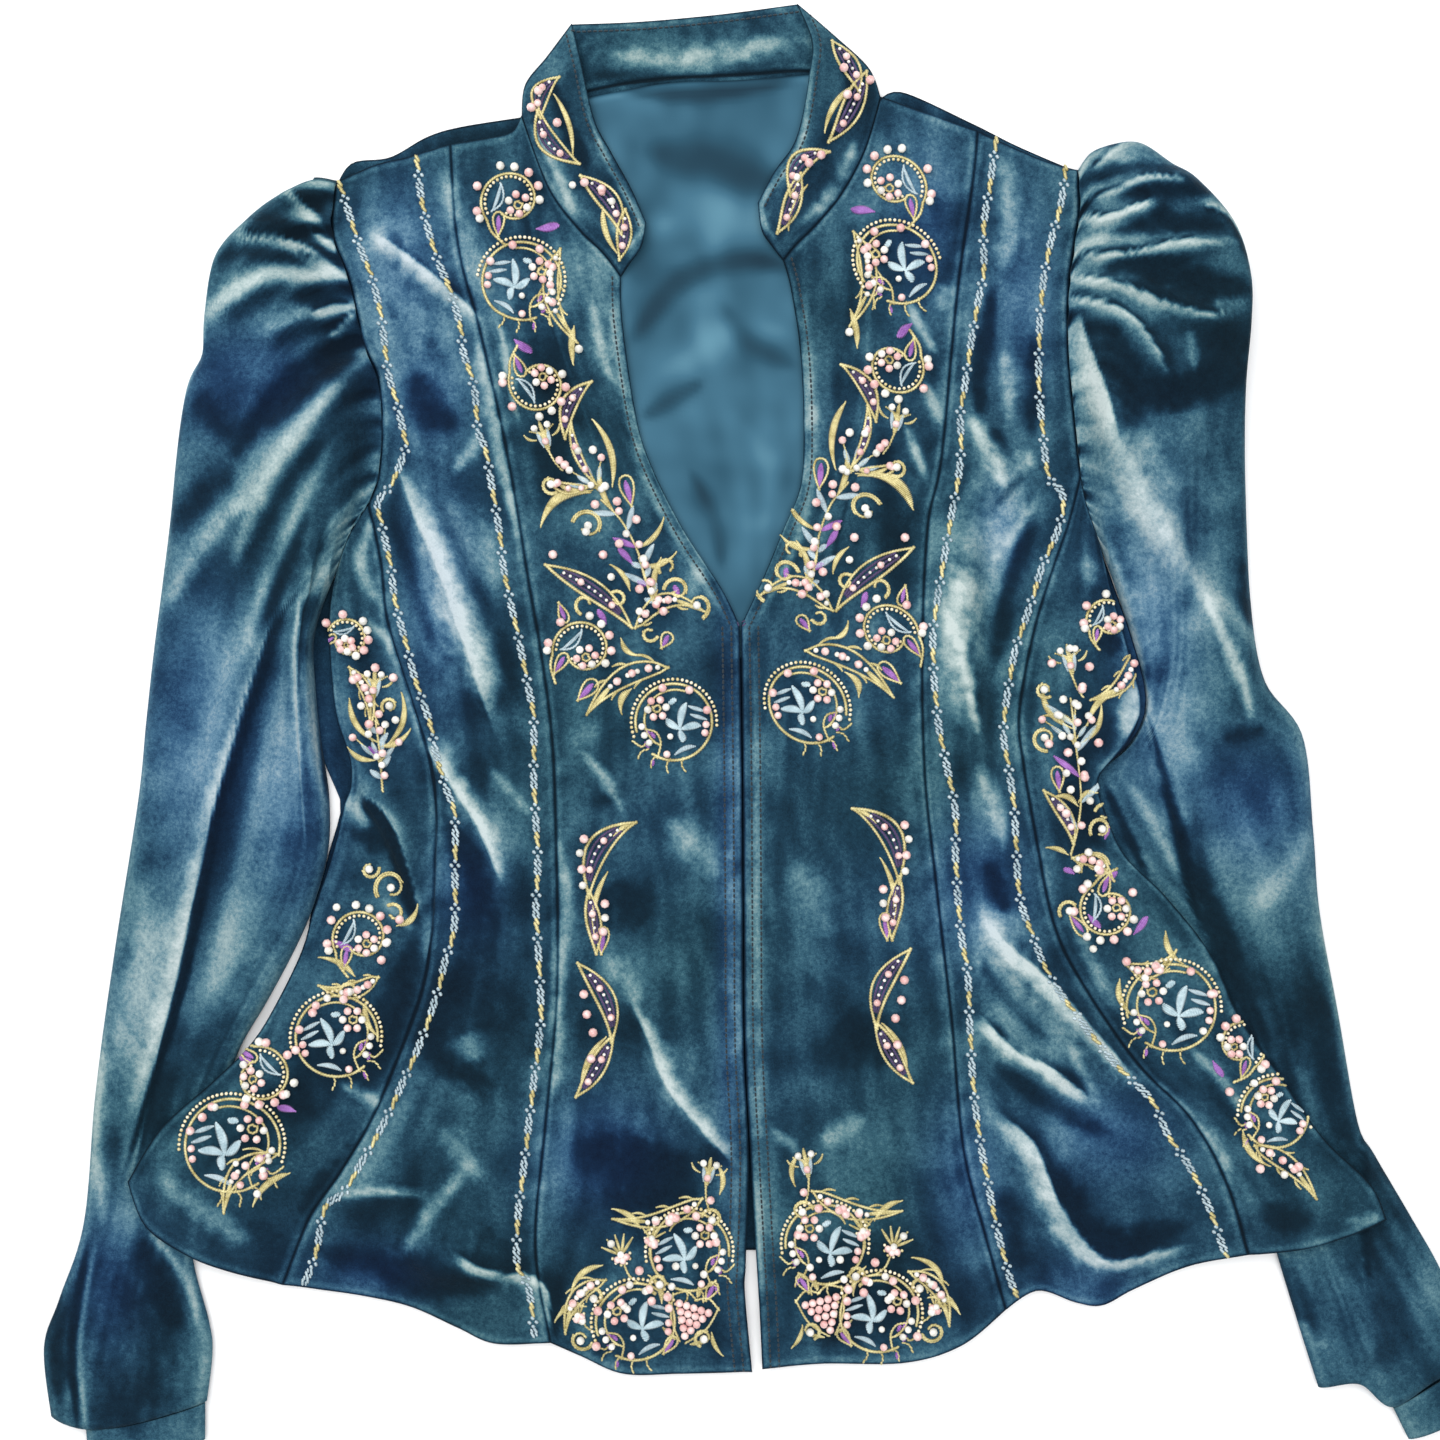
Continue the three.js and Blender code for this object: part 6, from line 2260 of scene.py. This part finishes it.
def berries(hoop: Hoop) -> None:
    """A bunch of beads in a leafy collar; one unit is its height.

    Args:
        hoop: where it is drawn.
    """
    for row in range(5):
        for k in range(5 - row):
            hoop.beads([((k - (4 - row) / 2) * 0.2, -0.35 + row * 0.19)], Floss.PINK, 4.2)
    for side in (-1, 1):
        hoop.line([(side * 0.1, 0.6), (side * 0.48, 0.1), (side * 0.62, -0.5)])
        hoop.line([(side * 0.62, -0.5), (side * 0.3, -0.68), (0.0, -0.55)])
        hoop.petal((side * 0.2, 0.62), (side * 0.62, 0.4), 0.16)
    hoop.petal((0.0, -0.62), (0.0, -0.95), 0.2)


def thistle(hoop: Hoop) -> None:
    """A beaded bud under spiky gold petals; one unit is its height.

    Args:
        hoop: where it is drawn.
    """
    for angle in (-140, -115, -90, -65, -40):
        hoop.petal((0, 0), polar(0.72, angle), 0.13)
    hoop.dots(arc(0.3, 0, 180), 1.8, 2.3)
    hoop.beads(points("-0.16,0.08 0.0,0.16 0.16,0.08"), Floss.PINK, 3.8)
    hoop.beads([(0.0, -0.05)], Floss.PEARL, 3.8)
    hoop.line(points("0,0.3 0.05,0.7 0.25,1.0"))


def pinks(hoop: Hoop, places: str) -> None:
    """Pink beads at points."""
    hoop.beads(points(places), Floss.PINK, 4.8)


def pearls(hoop: Hoop, places: str, across: float) -> None:
    """Pale beads at points."""
    hoop.beads(points(places), Floss.PEARL, across)


# What is sewn where, in photograph pixels. Scrolls, medallions, tulips, sprays, berries and thistles have
# a centre, size, turn and flip; the other motifs have what their functions ask for.
FRONT_BAND: list[tuple] = [
    (scroll, 513, 203, 32), (drop, (537, 232), (560, 228), 12), (medallion, 523, 284, 39),
    (horn, (561, 252), (578, 345), 13, 0.16), (slender, (575, 330), (574, 366), 9, 0.05),
    (pearls, "580,352", 4.6), (drop, (516, 343), (533, 356), 12), (scroll, 540, 386, 30, 160, True),
    (leaf, (592, 384), (566, 440), 14, 0.1), (leaf, (572, 425), (597, 486), 6, 0.06),
    (tulip, 546, 441, 26, -18), (slender, (594, 422), (613, 487), 9, -0.12), (spray, 598, 490, 44, -22),
    (slender, (542, 527), (590, 494), 13, -0.22), (curl, 589, 527, 15, 200, 300),
    (leaf, (550, 482), (590, 488), 9, 0.06, False), (drop, (632, 507), (626, 482), 12, True),
    (pinks, "618,503 637,521 596,506 620,545 566,467"), (pearls, "594,452 606,488 587,533 644,560", 4.6),
    (branch, "603,502 622,522 638,552 645,578 654,604"), (drop, (634, 566), (619, 548), 9),
    (leaf, (547, 566), (632, 628), 17, -0.12), (pinks, "554,556"), (curl, 668, 568, 9, 150, 250, False),
    (curl, 677, 591, 12, 190, 300, False), (drop, (679, 597), (675, 586), 8),
    (slender, (656, 600), (661, 560), 8, -0.1), (horn, (636, 628), (704, 612), 14, -0.3),
    (curl, 697, 606, 13, 60, -200), (drop, (662, 648), (669, 636), 10, True), (scroll, 584, 650, 31, 30),
    (drop, (579, 700), (594, 684), 12, True), (curl, 586, 605, 10, 120, 220, False),
    (drop, (607, 625), (599, 610), 9), (horn, (668, 668), (588, 714), 17, 0.12),
    (slender, (631, 690), (622, 713), 9, 0.2), (medallion, 674, 722, 38, 12, True),
    (curl, 552, 486, 9, 60, 300), (slender, (560, 486), (592, 492), 7, 0.1),
    (slender, (614, 512), (600, 470), 8, -0.1), (slender, (640, 548), (664, 520), 7, 0.12),
    (slender, (642, 566), (676, 554), 7, 0.16), (slender, (630, 590), (612, 566), 7, 0.12),
    (curl, 618, 600, 8, 240, 280, False), (branch, "640,560 648,584 660,612"),
    (curl, 650, 634, 8, 30, 260, False), (slender, (622, 640), (640, 656), 7, 0.2),
    (drop, (560, 604), (566, 620), 8, True), (pearls, "627,535 652,592 640,612 612,578", 4.2),
    (pinks, "640,590 664,612 604,556"),
]
WAIST_LEAVES: list[tuple] = [
    (leaf, (636, 822), (590, 896), 20, 0.14), (leaf, (590, 890), (597, 952), 13, -0.08),
    (slender, (608, 872), (596, 938), 7, 0.1), (pinks, "585,838 583,868 606,902 604,930"),
    (pearls, "581,852 584,884 606,916", 4.3), (drop, (602, 952), (604, 930), 10, True),
    (slender, (636, 822), (614, 836), 6, 0.1), (leaf, (579, 962), (612, 1040), 17, -0.2),
    (leaf, (614, 1034), (577, 1094), 15, -0.1), (slender, (606, 1036), (582, 1084), 7, 0.1),
    (pinks, "585,992 588,1012 594,1030 592,1056"),
]
HEM_CORNER: list[tuple] = [
    (tulip, 708, 1172, 25, 10), (horn, (702, 1196), (614, 1216), 14, -0.14), (medallion, 690, 1248, 39, -20),
    (medallion, 636, 1318, 39, 8, True), (berries, 690, 1316, 38, 18), (thistle, 622, 1252, 30, -18),
    (thistle, 652, 1236, 22, 12), (horn, (606, 1276), (566, 1330), 12, 0.16),
    (slender, (602, 1262), (572, 1290), 8, 0.18), (slender, (586, 1302), (556, 1318), 8, 0.18),
    (curl, 582, 1336, 11, 20, 300), (curl, 660, 1280, 10, 120, 280), (curl, 712, 1216, 10, 200, 280),
    (drop, (706, 1296), (714, 1282), 9, True), (drop, (664, 1350), (674, 1336), 9, True),
    (slender, (662, 1298), (650, 1272), 8, 0.14),
    (pinks, "640,1266 676,1214 600,1304 668,1292 652,1296 716,1238 598,1340"),
    (pearls, "630,1280 656,1216 584,1316 646,1286 672,1282", 4.2), (curl, 596, 1292, 9, 200, 280),
    (slender, (640, 1224), (614, 1206), 8, 0.12), (slender, (720, 1190), (716, 1160), 7, 0.16),
    (thistle, 580, 1312, 20, -30), (curl, 704, 1334, 9, 120, 280),
    (slender, (712, 1330), (722, 1352), 6, 0.1),
    (pearls, "624,1300 704,1270 612,1240 676,1262 584,1288", 4.2),
]
COLLAR_LEAVES: list[tuple] = [
    (leaf, (560, 82), (542, 122), 17, 0.12), (leaf, (540, 112), (580, 168), 17, 0.1),
    (slender, (556, 100), (574, 158), 7, -0.08), (pinks, "541,96 534,112 559,128"),
    (leaf, (582, 180), (622, 238), 18, -0.2), (leaf, (626, 214), (620, 262), 13, -0.12),
    (slender, (604, 212), (618, 256), 8, 0.1), (pinks, "586,187 603,194"), (pearls, "574,189 613,206", 4.0),
    (leaf, (832, 44), (858, 96), 17, -0.16), (leaf, (866, 74), (828, 146), 18, -0.12),
    (slender, (850, 92), (824, 136), 8, 0.1), (pinks, "842,74 846,100 868,84"),
    (leaf, (828, 156), (790, 200), 18, 0.16), (leaf, (800, 178), (777, 236), 15, -0.12),
    (slender, (806, 190), (788, 232), 7, 0.1), (pinks, "820,160 808,168"), (pearls, "796,182", 4.0),
]
LEFT_BAND: list[tuple] = [
    (scroll, 350, 640, 22, 60), (tulip, 376, 688, 27, 4), (slender, (352, 700), (380, 742), 8, 0.16),
    (slender, (404, 694), (390, 744), 8, -0.16), (spray, 382, 762, 40, 14),
    (branch, "378,722 382,752 384,776 386,790"), (curl, 394, 886, 16, 150, 300), (curl, 372, 868, 9, 0, 260),
    (scroll, 364, 936, 30, 10), (drop, (334, 938), (356, 950), 10), (horn, (380, 976), (322, 984), 13, -0.2),
    (medallion, 340, 1034, 40, -20), (slender, (368, 1000), (380, 1034), 8, 0.15),
    (scroll, 266, 1072, 30, 120), (drop, (300, 1108), (282, 1102), 10), (drop, (244, 1052), (258, 1060), 9),
    (medallion, 238, 1140, 46, -12), (horn, (282, 1150), (230, 1206), 14, 0.2),
    (slender, (292, 1170), (258, 1200), 9, 0.14),
    (pinks, "356,680 396,678 378,668 372,724 384,958 402,918 316,1010 300,1046 288,1090 210,1112 268,1170"),
    (pearls, "364,706 398,720 340,906 390,940 330,996 250,1060 222,1102 262,1188", 4.2),
    (curl, 392, 706, 8, 150, 280), (slender, (384, 746), (412, 730), 8, 0.14),
    (slender, (376, 760), (350, 748), 8, -0.14), (horn, (352, 668), (372, 730), 9, -0.16),
    (curl, 396, 912, 9, 240, 260, False), (slender, (400, 924), (420, 904), 8, 0.18),
    (slender, (356, 974), (322, 956), 8, 0.12), (curl, 352, 990, 10, 150, 240),
]
RIGHT_BAND: list[tuple] = [
    (scroll, 1106, 620, 23, 10), (tulip, 1066, 664, 26, -8), (horn, (1132, 652), (1086, 700), 13, -0.2),
    (slender, (1040, 690), (1066, 728), 8, 0.16), (slender, (1096, 706), (1076, 742), 8, -0.16),
    (spray, 1068, 742, 40, 8), (branch, "1066,700 1070,744 1076,800 1066,852"),
    (leaf, (1040, 790), (1068, 842), 11, -0.16), (curl, 1096, 828, 11, 160, 300),
    (curl, 1092, 866, 16, 170, 280), (drop, (1098, 880), (1112, 870), 9), (scroll, 1104, 908, 30, 200, True),
    (drop, (1128, 932), (1142, 914), 10), (drop, (1084, 912), (1096, 926), 9),
    (slender, (1160, 930), (1176, 960), 8, 0.15), (horn, (1122, 962), (1170, 948), 12, 0.2),
    (medallion, 1166, 1004, 43, 12, True), (slender, (1116, 978), (1128, 1012), 8, 0.15),
    (scroll, 1234, 1040, 27, 20, True), (drop, (1206, 1056), (1216, 1072), 9),
    (medallion, 1268, 1108, 34, 30, True), (horn, (1248, 1140), (1308, 1192), 14, -0.12),
    (slender, (1236, 1126), (1262, 1160), 8, 0.15),
    (pinks, "1050,664 1084,668 1046,744 1092,742 1078,776 1060,812 1126,890 1122,958 1150,962 1206,990 "
     "1222,1086 1252,1162 1290,1160"),
    (pearls, "1066,650 1056,716 1082,716 1060,772 1084,800 1072,866 1090,946 1140,974 1196,1026 1246,1078 "
     "1276,1168", 4.2),
    (curl, 1042, 738, 12, 90, 280), (curl, 1042, 690, 8, 60, 300),
    (slender, (1068, 724), (1040, 716), 8, 0.14), (slender, (1082, 724), (1118, 690), 9, -0.16),
    (drop, (1054, 790), (1052, 770), 10, True), (slender, (1072, 804), (1048, 796), 8, 0.2),
    (slender, (1074, 800), (1092, 792), 7, -0.2), (curl, 1100, 812, 9, 200, 280, False),
    (drop, (1100, 838), (1104, 824), 8), (horn, (1068, 856), (1108, 878), 10, -0.2),
    (drop, (1070, 872), (1060, 866), 9), (slender, (1062, 852), (1044, 846), 7, 0.1),
    (curl, 1066, 908, 10, 150, 260), (drop, (1066, 912), (1080, 930), 9, True),
    (pearls, "1060,700 1072,706 1058,736 1074,760 1064,788 1082,850", 4.4),
    (pinks, "1076,690 1062,752 1094,868"),
]
# The four zigzag lines, down the garment, in photograph pixels
ZIGZAGS: list[Plan] = [points(line) for line in (
    "341,186 351,216 360,244 375,284 384,324 390,373 400,409 406,437 407,452 393,486 380,504 384,526 393,569 "
    "397,602 408,644 419,686 431,720 439,756 450,790 457,813 457,869 456,925 447,960 438,995 422,1041 "
    "403,1084 384,1124 363,1161 347,1188 328,1204 320,1242 312,1268 306,1280",
    "418,161 423,201 430,232 439,262 452,293 462,330 465,354 476,391 479,431 487,452 494,492 501,535 505,569 "
    "511,599 520,640 530,690 535,720 535,780 539,858 537,904 540,959 542,1018 535,1078 526,1156 519,1216 "
    "519,1262 530,1285 535,1332",
    "995,142 989,184 982,230 982,275 975,312 968,354 963,390 959,413 959,459 954,496 945,542 936,597 931,643 "
    "936,720 945,766 954,812 954,858 959,927 966,973 968,1018 972,1087 979,1142 986,1179 995,1225 1007,1271 "
    "1015,1292",
    "1064,170 1060,202 1046,257 1039,303 1037,349 1037,390 1041,436 1046,478 1060,496 1057,528 1041,565 "
    "1026,613 1013,652 1005,700 1002,735 1006,766 1012,810 1014,850 1018,897 1031,936 1046,973 1074,1014 "
    "1115,1064 1147,1096 1165,1133 1184,1161 1202,1198 1214,1230 1221,1250",
)]

FRONT_MIRROR = Mirror(689.0, 0.0714, 17.0)
HEM_MIRROR = Mirror(757.0, 0.0, 8.0)
WAIST_MIRROR = Mirror(744.0, 0.0, 14.0)

# One repeat of a zigzag line: for each step, the stitches' place across, lean, size and thread
ZIGZAG_STITCHES = (
    [[(0.3 * s, 0.35, (5.2, 2.0), Floss.GOLD)] for s in (1, -1, 1)]
    + [[(place, 0.7, (2.6, 2.0), Floss.SILVER) for place in places]
       for places in ((0.0,), (-1.9, 1.9), (0.0,))]
    + [[(0.9 * s, 0.55, (4.7, 1.6), Floss.SILVER), (-1.1 * s, 0.55, (2.9, 1.3), Floss.SILVER)]
       for s in (1, -1, 1, -1)])

# Edges with a row of stitches inside them, and how far in, to the left as one walks along the edge
TOPSTITCHED = {"neck_left": -4.6, "edge_left": -4.6, "neck_right": 4.6, "edge_right": 4.6,
               "rim_left": -4.4, "rim_right": 4.4, "collar_back_rim": -4.4}


@dataclass
class Embroidery:
    """Lays out the embroidery and beads over the blouse.

    Args:
        needle: what sews.
        zigzag_pace: from stitch to stitch of the zigzag lines, in millimetres, as the others.
        zigzag_loose: how unevenly they lean, in radians.
        seam_pace: from stitch to stitch along an edge.
        seam_stitch: the length and width of such a stitch.
        second_row: how much further in the front edges' second row is, as a share of the first.
    """

    needle: Needle
    zigzag_pace: float = 2.35
    zigzag_loose: float = 0.12
    seam_pace: float = 2.9
    seam_stitch: tuple[float, float] = (2.5, 1.05)
    second_row: float = 2.05

    def sew(self) -> None:
        """Sews everything, each part only on the pieces that carry it."""
        self.needle.cloths = ("front",)
        for line in ZIGZAGS:
            self.zigzag(line)
        for motifs, mirror in ((FRONT_BAND, FRONT_MIRROR), (WAIST_LEAVES, WAIST_MIRROR),
                               (HEM_CORNER, HEM_MIRROR)):
            self.lay(motifs)
            self.lay(motifs, mirror)
        self.hook()
        self.needle.cloths = ("collar_front",)
        self.lay(COLLAR_LEAVES)
        self.needle.cloths = ("side_panel", "front_side")
        self.lay(LEFT_BAND)
        self.lay(RIGHT_BAND)
        self.needle.cloths = ("front_centre", "collar")
        for name, inset in TOPSTITCHED.items():
            self.topstitch(name, inset)

    def lay(self, motifs: list[tuple], mirror: Mirror | None = None) -> None:
        """Sews a table of motifs.

        Args:
            motifs: each motif's function, and its place and sizes.
            mirror: where they are mirrored to the other side, if they are.
        """
        for motif, *sizes in motifs:
            if motif in (scroll, medallion, tulip, spray, berries, thistle):
                motif(Hoop(self.needle, mirror, *sizes))
            else:
                motif(Hoop(self.needle, mirror), *sizes)

    def zigzag(self, line: Plan) -> None:
        """Sews white paired stitches and gold ones by turns.

        Args:
            line: where they run, in photograph pixels.
        """
        path = spline_at(from_photo(line), np.linspace(0, 1, 800))
        loose = np.random.default_rng(len(line))
        row = walk(path, int(walked(path)[-1] / self.zigzag_pace))
        for k, ((x, y), angle) in enumerate(zip(row, np.unwrap(headings(row)))):
            left = np.array([-math.sin(angle), math.cos(angle)])
            swing = angle + loose.uniform(-self.zigzag_loose, self.zigzag_loose)
            for side, lean, size, floss in ZIGZAG_STITCHES[k % len(ZIGZAG_STITCHES)]:
                self.needle.stitch(floss, x + side * left[0], y + side * left[1], swing + lean, *size)

    def topstitch(self, name: str, inset: float) -> None:
        """Sews a row of dark stitches along an edge, and a second one along the front edges.

        Args:
            name: the edge's seam line.
            inset: how far in it is, to the left as one walks along the edge.
        """
        path = spline_at(LINE[name], np.linspace(0.004, 0.996, 300))
        step = np.gradient(path, axis=0)
        step /= np.linalg.norm(step, axis=1, keepdims=True)
        left = np.column_stack([-step[:, 1], step[:, 0]])
        for row in (1.0, self.second_row) if name.startswith("edge") else (1.0,):
            inner = path + left * inset * row
            sewn = walk(inner, int(walked(inner)[-1] / self.seam_pace))
            for (x, y), angle in zip(sewn, headings(sewn)):
                self.needle.stitch(Floss.SEAM, x, y, angle, *self.seam_stitch)

    def hook(self) -> None:
        """Sews the small hook and eye where the fronts meet under the neck."""
        Hoop(self.needle).line(arc(3.2, 20, 320, 0.0, (741, 624)), Floss.PLUM, 0.9)


def main() -> None:
    """Makes the blouse and the studio."""
    logging.basicConfig(level=logging.INFO)
    effects = Effects()
    velvet, lining = Velvet().make(effects), Satin().make(effects)
    shells: dict[str, Shell] = {}
    for part in (Body(shells), Collar(shells), Sleeve(shells, side="left"), Sleeve(shells, side="right")):
        part.make()
    for name, shell in shells.items():
        satin = name == "back_lining"
        shell.obj.data.materials.append(lining if satin else velvet)
        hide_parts(name)
        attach(shell.obj, "root")
    needle = Needle(shells)
    Embroidery(needle).sew()
    sewn_on = needle.finish(effects)
    for name, shell in shells.items():
        cut = shell.cut()
        added = sewn_on.get(name, [])
        for obj in added:
            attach(obj, "root")
        LOG.info("%s: %.3f x %.3f m, with %d sewn-on pieces", name, cut.width, cut.length, len(added))
    Shoot(effects).set_up()


if __name__ == "__main__":
    main()
